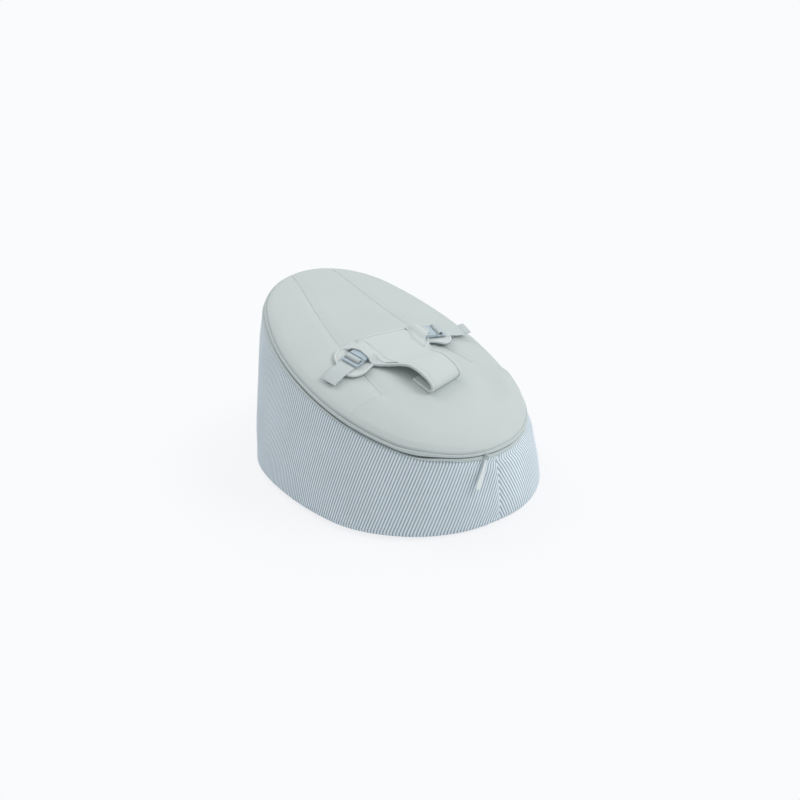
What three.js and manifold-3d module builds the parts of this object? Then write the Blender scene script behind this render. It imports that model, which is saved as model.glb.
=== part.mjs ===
// Convertible baby lounger: a bean bag with a slanted oval seat, a zipped seat cover and a T harness.
// Millimetres, +Z up, +Y toward the head end, origin on the floor under the middle of the base.

import * as THREE from 'three';
import Module from 'manifold-3d';
import { mergeVertices } from 'three/addons/utils/BufferGeometryUtils.js';

// Gap that touching pieces keep
const seatGap = 0.3;

// Base oval, where the wall is widest, and the tuck under it
const baseHalfLength = 295.5;
const baseHalfWidth = 246;
const baseEndInset = 6;
const baseCentreY = -2;
const tuckHeight = 12;
const tuckInset = 18;
const basePanelThickness = 3;

// Zip line round the rim: an oval in a sloping plane, its two ends curved up
const rimHalfLength = 299;
const rimHalfWidth = 198;
const rimEndInset = 29;
const rimCentreY = 5.5;
const rimCentreHeight = 211.5;
const rimTiltDegrees = 17.4;
const rimRise = 15.5;
const rimLeanDegrees = 16;

// Side walls
const wallThickness = 2.5;
const wallBulge = 5.5;

// Bands, tapes and teeth of the zip
const bandHeight = 7.5;
const bandThickness = 2.4;
const zipOpening = 1.6;
const tapeThickness = 0.8;
const tapeHeight = 4;
const teethDepth = 1.4;
const teethHeight = 1.25;
const zipSetback = 2.4;

// Seat cover
const seatCrown = 28;
const panelThickness = 5;
const panelEdgeThickness = 2.5;
const panelEdgeWidth = 20;
const panelEdgeInset = 4.6;
const seamDepth = 3;
const seamWidth = 13;
const crossSeamS = -106;
const seamHeadX = 53;
const seamFootX = 117;
const seamFlare = 1.5;

// Inner sack, its mouth and the filling
const linerThickness = 1;
const linerClearance = 1;
const linerShoulder = 6.4;
const mouthHalfLength = 75;
const mouthHalfWidth = 5;
const sackEdgeInset = 14;
const sackSlopeInset = 32;
const sackTopInset = 60;

// Harness: centre of the T on the seat, turn, strap and arms
const harnessX = -2;
const harnessS = -11;
const harnessTurnDegrees = 3.6;
const strapHalfWidth = 40;
const armReach = 60;
const armHeadW = 42;
const armFootW = -20;
const crotchFilletW = -66;
const foldW = -126;
const foldInnerRadius = 7;
const padThickness = 6;
const padEdgeThickness = 4;
const padLift = 1.5;
const archStartW = -22;
const archEndW = -96;
const bindingWidth = 2.2;

// Round tongues under the buckles
const lobeU = 95;
const lobeW = 6;
const guardThickness = 3;
const guardHalfWidth = 38;
const guardEndReach = 35;

// Webbing
const webbingWidth = 30;
const webbingThickness = 1.3;
const tailLength = 55;
const tailHem = 12;
const tailDropLeft = 7;
const tailDropRight = -5;

// Side release buckles
const buckleTurnDegrees = 12.5;
const buckleWidth = 36;
const plateThickness = 4;
const plateLength = 22.5;
const barWidth = 4;
const innerSlot = 3.9;
const outerSlot = 5.6;
const slotClearance = 0.6;
const socketLength = 25;
const socketWidth = 34;
const socketHeight = 8;
const socketWall = 1.6;
const prongLength = 20;
const prongThickness = 3.6;
const prongWidth = 5;
const mouthA = -17.3;
const mouthB = 1.9;
const socketReach = 15;

// Facing bands over the sockets
const facingThickness = 1.5;
const facingInnerA = -47;
const facingOuterA = -9;
const facingArch = 9;

// Zip slider and its pull
const sliderTurnDegrees = 9.2;
const sliderLength = 9;
const sliderHeight = 8.8;
const sliderPlate = 1.4;
const sliderClearance = 0.5;
const sliderNeck = 0.6;
const bailLength = 2.6;
const bailDepth = 3;
const bailHoleHeight = 4;
const bailWire = 1;
const ringWidth = 9;
const ringLength = 11;
const ringWire = 1.5;
const ringThickness = 1.3;
const pullWidth = 10;
const pullLength = 58;
const pullThickness = 2.2;
const pullSkewDegrees = 25;
const pullRestShare = 0.5;

// Facets
const rimSteps = 60;
const linerSteps = 30;

const rimTilt = THREE.MathUtils.degToRad(rimTiltDegrees);
const rimLean = THREE.MathUtils.degToRad(rimLeanDegrees);
const harnessTurn = THREE.MathUtils.degToRad(harnessTurnDegrees);
const buckleTurn = THREE.MathUtils.degToRad(buckleTurnDegrees);

const fabricGrey = 0xcad3d2;
const cordBlue = 0xa9b6bd;
const plasticBlue = 0xb8c7cd;
const webbingGrey = 0xcdd6d5;
const linerWhite = 0xe8e8e4;

const wasm = await Module();
wasm.setup();

const product = new THREE.Group();

// Four arcs with common tangents: two end arcs on the length axis and two long side arcs.
// A point is named by the direction of its outward normal, and grow moves it along that normal.
function makeOval(halfLength, halfWidth, endInset) {
  const endRadius = halfWidth - endInset;
  const sideRadius = halfLength + (halfLength - halfWidth) ** 2 / (2 * endInset);
  const endCentre = halfLength - endRadius;
  const sideCentre = sideRadius - halfWidth;
  const shoulder = Math.atan2(sideCentre, endCentre);
  const at = (angle, grow = 0) => {
    const across = Math.cos(angle);
    const along = Math.sin(angle);
    if (Math.abs(across) < Math.sin(shoulder)) {
      const radius = endRadius + grow;
      return { x: radius * across, s: Math.sign(along) * endCentre + radius * along };
    }
    const radius = sideRadius + grow;
    return { x: radius * across - Math.sign(across) * sideCentre, s: radius * along };
  };
  // Distance from a point inside to the outline
  const inside = (x, s) => {
    const fromSide = Math.atan2(Math.abs(s), Math.abs(x) + sideCentre);
    if (fromSide < Math.PI / 2 - shoulder) {
      return sideRadius - Math.hypot(Math.abs(x) + sideCentre, s);
    }
    return endRadius - Math.hypot(x, Math.abs(s) - endCentre);
  };
  return { at, inside, endRadius, endCentre, sideRadius, sideCentre };
}

const baseOval = makeOval(baseHalfLength, baseHalfWidth, baseEndInset);
const rimOval = makeOval(rimHalfLength, rimHalfWidth, rimEndInset);

// From the rim's sloping plane (x across, s up the slope, n off the plane) to the part's frame
function fromSlope(x, s, n) {
  return new THREE.Vector3(
    x,
    rimCentreY + s * Math.cos(rimTilt) - n * Math.sin(rimTilt),
    rimCentreHeight + s * Math.sin(rimTilt) + n * Math.cos(rimTilt),
  );
}

// How far the rim's curve lifts off its plane
function rise(s) {
  return rimRise * (s / rimHalfLength) ** 2;
}

// A point of the rim's section at one angle: out and up lie along the leaning bands
function rimPoint(angle, out, up) {
  const grow = out * Math.cos(rimLean) - up * Math.sin(rimLean);
  const lift = out * Math.sin(rimLean) + up * Math.cos(rimLean);
  const line = rimOval.at(angle);
  const point = rimOval.at(angle, grow);
  return fromSlope(point.x, point.s, lift + rise(line.s));
}

// Angles of equal steps, the front of the bag first
function turns(steps, from = -Math.PI / 2, to = (3 * Math.PI) / 2) {
  return Array.from({ length: steps + 1 }, (_, i) => from + ((to - from) * i) / steps);
}

// Eases from 0 to 1
function smooth(value) {
  const t = Math.min(Math.max(value, 0), 1);
  return t * t * (3 - 2 * t);
}

function mix(a, b, t) {
  return a + (b - a) * t;
}

// A closed solid through rings of points. The rings join end to end in a loop, or the two ends
// are closed by strips that pair each ring's points from its two sides.
function loft(rings, loop = false) {
  const count = rings[0].length;
  const points = rings.flat();
  const positions = points.flatMap((point) => [point.x, point.y, point.z]);
  const index = [];
  const spans = loop ? rings.length : rings.length - 1;
  for (let i = 0; i < spans; i++) {
    const near = i * count;
    const far = ((i + 1) % rings.length) * count;
    for (let j = 0; j < count; j++) {
      const k = (j + 1) % count;
      const [a, b, c, d] = [near + j, near + k, far + k, far + j];
      if (points[a].distanceTo(points[c]) < points[b].distanceTo(points[d])) index.push(a, b, c, a, c, d);
      else index.push(a, b, d, b, c, d);
    }
  }
  if (!loop) {
    const last = (rings.length - 1) * count;
    for (let j = 0; j < count / 2 - 1; j++) {
      const k = count - 1 - j;
      index.push(j, k, j + 1, k, k - 1, j + 1);
      index.push(last + j, last + j + 1, last + k, last + k, last + j + 1, last + k - 1);
    }
  }
  const geometry = new THREE.BufferGeometry();
  geometry.setAttribute('position', new THREE.Float32BufferAttribute(positions, 3));
  geometry.setIndex(index);
  return geometry;
}

// Six times the volume that a geometry's faces enclose, with its sign
function signedVolume(geometry) {
  const position = geometry.attributes.position;
  const index = geometry.index.array;
  const a = new THREE.Vector3();
  const b = new THREE.Vector3();
  const c = new THREE.Vector3();
  let total = 0;
  for (let i = 0; i < index.length; i += 3) {
    a.fromBufferAttribute(position, index[i]);
    b.fromBufferAttribute(position, index[i + 1]);
    c.fromBufferAttribute(position, index[i + 2]);
    total += a.dot(b.cross(c));
  }
  return total;
}

// Shared corners merged, flat triangles dropped, faces turned outward
function tidySolid(geometry) {
  const bare = geometry.clone();
  bare.deleteAttribute('normal');
  bare.deleteAttribute('uv');
  const merged = mergeVertices(bare);
  const kept = [];
  const index = merged.index.array;
  for (let i = 0; i < index.length; i += 3) {
    const [a, b, c] = [index[i], index[i + 1], index[i + 2]];
    if (a !== b && b !== c && c !== a) kept.push(a, b, c);
  }
  merged.setIndex(kept);
  if (signedVolume(merged) < 0) {
    merged.setIndex(kept.map((_, i) => kept[i - (i % 3) + 2 - (i % 3)]));
  }
  return merged;
}

// Joins or cuts solids
function toManifold(geometry) {
  const solid = tidySolid(geometry);
  const vertProperties = new Float32Array(solid.attributes.position.array);
  const triVerts = new Uint32Array(solid.index.array);
  return new wasm.Manifold(new wasm.Mesh({ numProp: 3, vertProperties, triVerts }));
}

function fromManifold(solid) {
  const mesh = solid.getMesh();
  const geometry = new THREE.BufferGeometry();
  geometry.setAttribute('position', new THREE.Float32BufferAttribute(mesh.vertProperties, 3));
  geometry.setIndex(Array.from(mesh.triVerts));
  return geometry;
}

function addPiece(name, geometry, color, roughness) {
  const material = new THREE.MeshStandardMaterial({ color, roughness, metalness: 0 });
  const solid = tidySolid(geometry);
  solid.computeVertexNormals();
  const mesh = new THREE.Mesh(solid, material);
  mesh.name = name;
  product.add(mesh);
}

// Base bag

// The base's outline in the part's frame
function baseLine(angle, grow) {
  const place = baseOval.at(angle, grow);
  return { x: place.x, s: place.s + baseCentreY };
}

// A point of the wall below the band: share 0 is its top edge and 1 its widest line
function wallPoint(angle, share, depth) {
  const top = rimPoint(angle, bandThickness / 2 - depth, -zipOpening / 2 - bandHeight - seatGap);
  const foot = baseLine(angle, -depth);
  const bulge = wallBulge * Math.sin(Math.PI * share);
  return new THREE.Vector3(
    mix(top.x, foot.x, share) + bulge * Math.cos(angle),
    mix(top.y, foot.s, share) + bulge * Math.sin(angle),
    mix(top.z, tuckHeight, share),
  );
}

// A point of the tuck, where the wall turns under: turn runs from 0 to a quarter turn
function tuckPoint(angle, turn, depth) {
  const inset = tuckInset * (1 - Math.cos(turn)) + depth * Math.cos(turn);
  const foot = baseLine(angle, -inset);
  const height = mix(tuckHeight, seatGap, Math.sin(turn)) + depth * Math.sin(turn);
  return new THREE.Vector3(foot.x, foot.s, height);
}

function wallProfile(angle, depth) {
  const shares = [0, 0.17, 0.33, 0.5, 0.67, 0.83, 1];
  const quarterShares = [0.35, 0.7, 1];
  const wall = shares.map((share) => wallPoint(angle, share, depth));
  const tuck = quarterShares.map((share) => tuckPoint(angle, (share * Math.PI) / 2, depth));
  return [...wall, ...tuck];
}

function addSidePanel(name, side) {
  const seamTurn = seatGap / (2 * rimOval.endRadius);
  const angles = turns(rimSteps / 2, -Math.PI / 2, Math.PI / 2);
  angles[0] += seamTurn;
  angles[angles.length - 1] -= seamTurn;
  const rings = angles.map((angle) => {
    const outer = wallProfile(angle, 0);
    const inner = wallProfile(angle, wallThickness);
    return [...outer, ...inner.reverse()];
  });
  rings.flat().forEach((point) => {
    point.x *= side;
  });
  addPiece(name, loft(rings), cordBlue, 0.9);
}

function addBasePanel() {
  const angles = turns(rimSteps).slice(0, -1);
  const outline = (height) => angles.map((angle) => {
    const point = baseLine(angle, -tuckInset - seatGap);
    return new THREE.Vector3(point.x, point.s, height);
  });
  addPiece('base_panel', loft([outline(0), outline(basePanelThickness)]), cordBlue, 0.9);
}

// A ring all round the rim with a slab section: out and up are its limits
function rimRing(outLow, outHigh, upLow, upHigh) {
  const rings = turns(rimSteps).slice(0, -1).map((angle) => [
    rimPoint(angle, outHigh, upLow),
    rimPoint(angle, outHigh, upHigh),
    rimPoint(angle, outLow, upHigh),
    rimPoint(angle, outLow, upLow),
  ]);
  return loft(rings, true);
}

function addZipHalf(ending, sense) {
  const halfBand = bandThickness / 2;
  const span = (near, far) => [sense * near, sense * far].sort((a, b) => a - b);
  const bandSpan = span(zipOpening / 2, zipOpening / 2 + bandHeight);
  const teethSpan = span(seatGap / 2, seatGap / 2 + teethHeight);
  const tapeNear = seatGap / 2 + teethHeight + seatGap;
  const tapeSpan = span(tapeNear, tapeNear + tapeHeight);
  const teethOut = -halfBand - zipSetback;
  const tapeOut = teethOut - (teethDepth - tapeThickness) / 2;
  addPiece(`rim_band_${ending}`, rimRing(-halfBand, halfBand, ...bandSpan), fabricGrey, 0.8);
  addPiece(`zip_tape_${ending}`, rimRing(tapeOut - tapeThickness, tapeOut, ...tapeSpan), fabricGrey, 0.8);
  addPiece(`zip_teeth_${ending}`, rimRing(teethOut - teethDepth, teethOut, ...teethSpan), fabricGrey, 0.4);
}

// Seat cover

const bandTop = (zipOpening / 2 + bandHeight) * Math.cos(rimLean) + (bandThickness / 2) * Math.sin(rimLean);

// Height of the seat off the rim's plane, without its seams
function seatHeight(x, s) {
  const inside = Math.max(rimOval.inside(x, s) - panelEdgeInset, 0);
  const far = Math.max(1 - inside / (rimHalfWidth - panelEdgeInset), 0);
  const crownPower = 0.6;
  return rise(s) + bandTop + seatCrown * (1 - far * far) ** crownPower;
}

const seamHeadS = rimOval.endCentre + Math.sqrt((rimOval.endRadius - panelEdgeInset) ** 2 - seamHeadX ** 2);

// Distance of a long seam from the middle line
function seamX(s) {
  const share = Math.min(Math.max((seamHeadS - s) / (seamHeadS - crossSeamS), 0), 1);
  return mix(seamHeadX, seamFootX, share ** seamFlare);
}

// How far the stitching draws the surface in. It fades out at the thin edge, under the band.
function seamValley(x, s) {
  const toLong = Math.hypot(Math.abs(x) - seamX(s), Math.max(crossSeamS - s, 0));
  const toCross = Math.abs(s - crossSeamS);
  const near = Math.min(toLong, toCross) / seamWidth;
  const inside = rimOval.inside(x, s) - panelEdgeInset;
  return seamDepth * Math.exp(-near * near) * smooth(inside / panelEdgeWidth);
}

function seatPoint(x, s, lift) {
  return fromSlope(x, s, seatHeight(x, s) + lift);
}

function panelTop(x, s) {
  return fromSlope(x, s, seatHeight(x, s) - seamValley(x, s));
}

function panelUnder(x, s) {
  const inside = rimOval.inside(x, s) - panelEdgeInset;
  const thickness = mix(panelEdgeThickness, panelThickness, smooth(inside / panelEdgeWidth));
  return seatPoint(x, s, -thickness);
}

// A padded panel from rows of [x, s] places: its upper face and its under face
function panelSolid(rows) {
  return loft(rows.map((row) => [
    ...row.map(([x, s]) => panelTop(x, s)),
    ...row.map(([x, s]) => panelUnder(x, s)).reverse(),
  ]));
}

// Shares across a panel, closer together near its edges, where the seams draw it in
const acrossShares = [0, 0.05, 0.12, 0.24, 0.37, 0.5, 0.63, 0.76, 0.88, 0.95, 1];

// A place on the seat's outline
function seatEdge(angle) {
  return rimOval.at(angle, -panelEdgeInset);
}

function addSidePanelTop(name, side) {
  const side0 = Math.asin((crossSeamS + seatGap / 2) / (rimOval.sideRadius - panelEdgeInset));
  const headX = seamHeadX + seatGap / 2;
  const side1 = Math.acos(headX / (rimOval.endRadius - panelEdgeInset));
  const rows = turns(16, side0, side1).map((angle) => {
    const edge = seatEdge(angle);
    const seam = Math.min(seamX(edge.s) + seatGap / 2, edge.x);
    return acrossShares.map((share) => [side * mix(seam, edge.x, share), edge.s]);
  });
  addPiece(name, panelSolid(rows), fabricGrey, 0.8);
}

function addCentrePanel() {
  const rowShares = [0, 0.03, 0.07, 0.14, 0.24, 0.36, 0.48, 0.6, 0.72, 0.84, 0.92, 0.97, 1];
  const endRadius = rimOval.endRadius - panelEdgeInset;
  const rows = rowShares.map((rowShare) => acrossShares.map((share) => {
    const across = 2 * share - 1;
    const head = rimOval.endCentre + Math.sqrt(endRadius ** 2 - (across * seamHeadX) ** 2);
    const s = mix(crossSeamS + seatGap / 2, head, rowShare);
    return [across * (seamX(s) - seatGap / 2), s];
  }));
  addPiece('top_panel_centre', panelSolid(rows), fabricGrey, 0.8);
}

function addFrontPanel() {
  const start = Math.asin((crossSeamS - seatGap / 2) / (rimOval.sideRadius - panelEdgeInset));
  const rows = turns(16, start, -Math.PI / 2).map((angle) => {
    const edge = seatEdge(angle);
    return acrossShares.map((share) => [mix(-edge.x, edge.x, share), edge.s]);
  });
  addPiece('top_panel_front', panelSolid(rows), fabricGrey, 0.8);
}

// Inner sack and filling

// One level of the sack: bury moves the surface into the sack
function sackRings(bury) {
  const angles = turns(linerSteps).slice(0, -1);
  const depth = wallThickness + linerClearance + bury;
  const under = panelThickness + linerClearance + bury;
  const floor = basePanelThickness + seatGap + bury;
  const shoulderOut = -linerShoulder - bury;
  const dome = (inset, angle) => rimOval.at(angle, -inset - bury);
  const mouth = (angle, spread) => ({
    x: (mouthHalfWidth + spread) * Math.cos(angle),
    s: (mouthHalfLength + spread) * Math.sin(angle),
  });
  const onSeat = (place) => seatPoint(place.x, place.s, -under);
  const halfway = (angle, share) => {
    const edge = dome(sackTopInset, angle);
    const slit = mouth(angle, 0);
    return onSeat({ x: mix(edge.x, slit.x, share), s: mix(edge.s, slit.s, share) });
  };
  const levels = [
    (angle) => {
      const foot = baseLine(angle, -tuckInset - depth);
      return new THREE.Vector3(foot.x, foot.s, floor);
    },
    (angle) => tuckPoint(angle, Math.PI / 4, depth),
    (angle) => wallPoint(angle, 1, depth),
    (angle) => wallPoint(angle, 0.5, depth),
    (angle) => wallPoint(angle, 0.17, depth),
    (angle) => rimPoint(angle, shoulderOut, -bandHeight),
    (angle) => rimPoint(angle, shoulderOut, 0),
    (angle) => onSeat(dome(sackEdgeInset, angle)),
    (angle) => onSeat(dome(sackSlopeInset, angle)),
    (angle) => halfway(angle, 0),
    (angle) => halfway(angle, 0.5),
    (angle) => halfway(angle, 1),
  ];
  return levels.map((level) => angles.map(level));
}

function addInnerSack() {
  const outer = sackRings(0);
  const inner = sackRings(linerThickness);
  addPiece('inner_liner', loft([...outer, ...inner.reverse()]), linerWhite, 0.7);
  addPiece('bead_fill', loft(sackRings(linerThickness + seatGap)), linerWhite, 0.9);
}

// The closure that fills the sack's mouth
function addLinerZip() {
  const angles = turns(linerSteps).slice(0, -1);
  const level = (lift) => angles.map((angle) => seatPoint(
    (mouthHalfWidth - seatGap) * Math.cos(angle),
    (mouthHalfLength - seatGap) * Math.sin(angle),
    lift - panelThickness - linerClearance,
  ));
  addPiece('liner_zip', loft([level(-linerThickness), level(0)]), linerWhite, 0.6);
}

// Harness

// From the harness's own directions (u across, w toward the head) to the seat
function harnessPoint(u, w, lift) {
  const x = harnessX + u * Math.cos(harnessTurn) - w * Math.sin(harnessTurn);
  const s = harnessS + u * Math.sin(harnessTurn) + w * Math.cos(harnessTurn);
  return seatPoint(x, s, lift);
}

const foldLift = seatGap + padThickness + foldInnerRadius;
const archLift = foldLift + foldInnerRadius;

// Lift of the pad's under face: it lies on the seat at the T and rises to the fold
function padUnder(w) {
  return mix(padLift, archLift, smooth((archStartW - w) / (archStartW - archEndW)));
}

// Half width of the pad at one place along the harness
function padEdge(w) {
  if (w >= armFootW) return armReach;
  if (w <= crotchFilletW) return strapHalfWidth;
  const share = (w - crotchFilletW) / (armFootW - crotchFilletW);
  return mix(strapHalfWidth, armReach, 1 - Math.sqrt(1 - share * share));
}

const padRowShares = [
  0, 0.02, 0.08, 0.18, 0.28, 0.37, 0.39, 0.43, 0.48, 0.54, 0.6, 0.66, 0.74, 0.83, 0.92, 1,
];
const padAcrossShares = [-1, -0.94, -0.75, -0.5, -0.25, 0, 0.25, 0.5, 0.75, 0.94, 1];
const padEaseShare = 0.2;
const padHeadEaseShare = 0.066;

// The pad thins toward its sides and its head edge, but not at the fold
function padThicknessAt(across, rowShare) {
  if (rowShare === 1) return padThickness;
  const edge = smooth((1 - Math.abs(across)) / padEaseShare) * smooth(rowShare / padHeadEaseShare);
  return mix(padEdgeThickness, padThickness, edge);
}

function addHarnessPad() {
  const rows = padRowShares.map((rowShare) => {
    const w = mix(armHeadW, foldW, rowShare);
    const under = padUnder(w);
    const ease = (padThickness - padEdgeThickness) / 2;
    const row = padAcrossShares.map((across) => {
      const thickness = padThicknessAt(across, rowShare);
      const dip = ease - (thickness - padEdgeThickness) / 2;
      return { u: across * padEdge(w), low: under + dip, high: under + dip + thickness };
    });
    return [
      ...row.map(({ u, high }) => harnessPoint(u, w, high)),
      ...row.map(({ u, low }) => harnessPoint(u, w, low)).reverse(),
    ];
  });
  addPiece('harness_pad', loft(rows), fabricGrey, 0.75);
}

// A bound edge along a list of [u, w] places, outward of the pad
function bindingSolid(places, outward) {
  const mid = padThickness / 2;
  const half = padEdgeThickness / 2;
  return loft(places.map(([u, w], i) => {
    const [du, dw] = outward[i];
    const near = 2 * seatGap;
    const far = near + bindingWidth;
    const section = [[near, -half], [far, -half], [far, half], [near, half]];
    return section.map(([out, rise]) => harnessPoint(u + du * out, w + dw * out, padUnder(w) + mid + rise));
  }));
}

function addHarnessBindings() {
  const acrossPlaces = padAcrossShares.map((across) => [across * armReach, armHeadW]);
  const headward = acrossPlaces.map(() => [0, 1]);
  addPiece('harness_binding_top', bindingSolid(acrossPlaces, headward), fabricGrey, 0.7);
  const rowWs = turns(16, armFootW, foldW);
  for (const [name, side] of [['left', -1], ['right', 1]]) {
    const places = rowWs.map((w) => [side * padEdge(w), w]);
    const outward = rowWs.map((w) => {
      const step = (crotchFilletW - armFootW) / 100;
      const slope = (padEdge(w + step) - padEdge(w - step)) / (2 * step);
      const length = Math.hypot(1, slope);
      return [side / length, -slope / length];
    });
    addPiece(`harness_binding_${name}`, bindingSolid(places, outward), fabricGrey, 0.7);
  }
}

// Crotch strap: the layer sewn into the cross seam, and the fold that turns it back

function addCrotchStrap() {
  const acrossShares5 = [-1, -0.5, 0, 0.5, 1];
  const startS = crossSeamS - seatGap - harnessS;
  const startW = (u) => (startS - u * Math.sin(harnessTurn)) / Math.cos(harnessTurn);
  const rowShares = [0, 0.25, 0.5, 0.75, 1];
  const endW = foldW + seatGap;
  const rows = rowShares.map((rowShare) => [
    ...acrossShares5.map((across) => {
      const u = across * strapHalfWidth;
      return harnessPoint(u, mix(startW(u), endW, rowShare), seatGap + padThickness);
    }),
    ...acrossShares5.map((across) => {
      const u = across * strapHalfWidth;
      return harnessPoint(u, mix(startW(u), endW, rowShare), seatGap);
    }).reverse(),
  ]);
  addPiece('crotch_strap_base', loft(rows), fabricGrey, 0.75);

  const turnsRound = turns(10, -Math.PI / 2, Math.PI / 2);
  const arc = (u, radius, list) => list.map((turn) => harnessPoint(
    u,
    foldW - seatGap / 2 - radius * Math.cos(turn),
    foldLift + radius * Math.sin(turn),
  ));
  const rings = acrossShares5.map((across) => {
    const u = across * strapHalfWidth;
    return [
      ...arc(u, foldInnerRadius + padThickness, turnsRound),
      ...arc(u, foldInnerRadius, turnsRound).reverse(),
    ];
  });
  addPiece('crotch_strap_fold', loft(rings), fabricGrey, 0.75);
}

// Flat frame at the outer end of an arm: a outward, b toward the head, h off the seat
function lobeFrame(side) {
  const reach = guardEndReach;
  const origin = harnessPoint(side * lobeU, lobeW, 0);
  const outer = harnessPoint(side * (lobeU + reach), lobeW, 0);
  const inner = harnessPoint(side * (lobeU - reach), lobeW, 0);
  const head = harnessPoint(side * lobeU, lobeW + reach, 0);
  const foot = harnessPoint(side * lobeU, lobeW - reach, 0);
  const a = outer.sub(inner).normalize();
  const rough = head.sub(foot).normalize();
  const h = new THREE.Vector3().crossVectors(a, rough).multiplyScalar(side).normalize();
  const b = new THREE.Vector3().crossVectors(h, a).multiplyScalar(side);
  return new THREE.Matrix4().makeBasis(a, b, h).setPosition(origin);
}

// The buckle's frame on that plane: along outward, across toward the head, h off its plate's under face
const plateLift = 3 * seatGap + 2 * webbingThickness;
const guardLift = 2 * seatGap + webbingThickness;
const plateBase = guardLift + guardThickness + plateLift;

function buckleFrame(side) {
  const local = new THREE.Matrix4().makeRotationZ(-buckleTurn);
  local.setPosition(mouthA, mouthB, plateBase);
  return lobeFrame(side).multiply(local);
}

function placed(geometry, frame) {
  return geometry.clone().applyMatrix4(frame);
}

function plate(shape, depth, low) {
  const geometry = new THREE.ExtrudeGeometry(shape, { depth, bevelEnabled: false, curveSegments: 6 });
  return geometry.translate(0, 0, low);
}

function rectangle(target, x0, y0, x1, y1) {
  target.moveTo(x0, y0);
  target.lineTo(x1, y0);
  target.lineTo(x1, y1);
  target.lineTo(x0, y1);
  target.closePath();
  return target;
}

// Half outline of a tongue: straight sides and an elliptical end
function guardOutline(grow) {
  const inner = armReach - lobeU + 2 * seatGap + bindingWidth;
  const endA = guardEndReach - guardHalfWidth;
  const places = turns(14, -Math.PI / 2, Math.PI / 2).map((angle) => new THREE.Vector2(
    endA + (guardHalfWidth + grow) * Math.cos(angle),
    (guardHalfWidth + grow) * Math.sin(angle),
  ));
  const edge = guardHalfWidth + grow;
  return [new THREE.Vector2(inner, -edge), ...places, new THREE.Vector2(inner, edge)];
}

function addGuard(name, side) {
  const frame = lobeFrame(side);
  const shape = new THREE.Shape(guardOutline(0));
  const guard = plate(shape, guardThickness, guardLift);
  addPiece(`buckle_guard_${name}`, placed(guard, frame), fabricGrey, 0.75);
  const inner = guardOutline(seatGap);
  const outer = guardOutline(seatGap + bindingWidth);
  const low = guardLift;
  const high = guardLift + guardThickness;
  const rings = inner.map((place, i) => [
    new THREE.Vector3(outer[i].x, outer[i].y, low),
    new THREE.Vector3(outer[i].x, outer[i].y, high),
    new THREE.Vector3(place.x, place.y, high),
    new THREE.Vector3(place.x, place.y, low),
  ]);
  addPiece(`guard_binding_${name}`, placed(loft(rings), frame), fabricGrey, 0.7);
}

// Buckle halves

const socketBack = socketReach - socketLength;
const plateFront = socketReach + 2 * seatGap;
const plateBack = plateFront + plateLength;
const barFront = plateFront + 3 * seatGap + 2 + innerSlot;
const barBack = barFront + barWidth;
const outerBarFront = barBack + outerSlot;

function addSocket(name, side) {
  const middle = plateThickness / 2;
  const half = socketHeight / 2;
  const halfWidth = socketWidth / 2;
  const shape = rectangle(new THREE.Shape(), -halfWidth, middle - half, halfWidth, middle + half);
  const bore = halfWidth - socketWall;
  const boreHalf = half - socketWall;
  shape.holes.push(rectangle(new THREE.Path(), -bore, middle - boreHalf, bore, middle + boreHalf));
  const tube = new THREE.ExtrudeGeometry(shape, { depth: socketLength, bevelEnabled: false });
  const stand = new THREE.Matrix4().makeBasis(
    new THREE.Vector3(0, 1, 0),
    new THREE.Vector3(0, 0, 1),
    new THREE.Vector3(1, 0, 0),
  ).setPosition(socketBack, 0, 0);
  const frame = buckleFrame(side).multiply(stand);
  addPiece(`buckle_socket_${name}`, placed(tube, frame), plasticBlue, 0.4);
}

function addClip(name, side) {
  const half = buckleWidth / 2;
  const slotHalf = webbingWidth / 2 + slotClearance;
  const bar = (shape, depth, low) => toManifold(plate(shape, depth, low));
  let clip = bar(rectangle(new THREE.Shape(), plateFront, -half, plateBack, half), plateThickness, 0);
  for (const [near, far] of [[barFront - innerSlot, barFront], [barBack, outerBarFront]]) {
    const slot = rectangle(new THREE.Shape(), near, -slotHalf, far, slotHalf);
    clip = clip.subtract(bar(slot, 3 * plateThickness, -plateThickness));
  }
  const reach = socketWidth / 2 - socketWall - slotClearance - prongWidth / 2;
  const low = (plateThickness - prongThickness) / 2;
  for (const across of [-reach, 0, reach]) {
    const prong = rectangle(
      new THREE.Shape(),
      plateFront - prongLength,
      across - prongWidth / 2,
      plateFront + seatGap,
      across + prongWidth / 2,
    );
    clip = clip.add(bar(prong, prongThickness, low));
  }
  addPiece(`buckle_clip_${name}`, placed(fromManifold(clip), buckleFrame(side)), plasticBlue, 0.4);
}

// A strip of webbing along a middle line of [along, h] places, with its thickness at each place
function ribbon(line, side, thickness = () => webbingThickness) {
  const points = line.map(([along, h]) => new THREE.Vector2(along, h));
  const offsets = points.map((point, i) => {
    const before = points[Math.max(i - 1, 0)];
    const after = points[Math.min(i + 1, points.length - 1)];
    const into = point.clone().sub(before).normalize();
    const out = after.clone().sub(point).normalize();
    const along = into.clone().add(out).normalize();
    const turn = Math.max(along.dot(i === 0 ? out : into), 0.5);
    return new THREE.Vector2(-along.y, along.x).multiplyScalar(thickness(i) / (2 * turn));
  });
  const rings = points.map((point, i) => {
    const high = point.clone().add(offsets[i]);
    const low = point.clone().sub(offsets[i]);
    const half = webbingWidth / 2;
    return [
      new THREE.Vector3(high.x, -half, high.y),
      new THREE.Vector3(high.x, half, high.y),
      new THREE.Vector3(low.x, half, low.y),
      new THREE.Vector3(low.x, -half, low.y),
    ];
  });
  return placed(loft(rings), buckleFrame(side));
}

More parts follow.
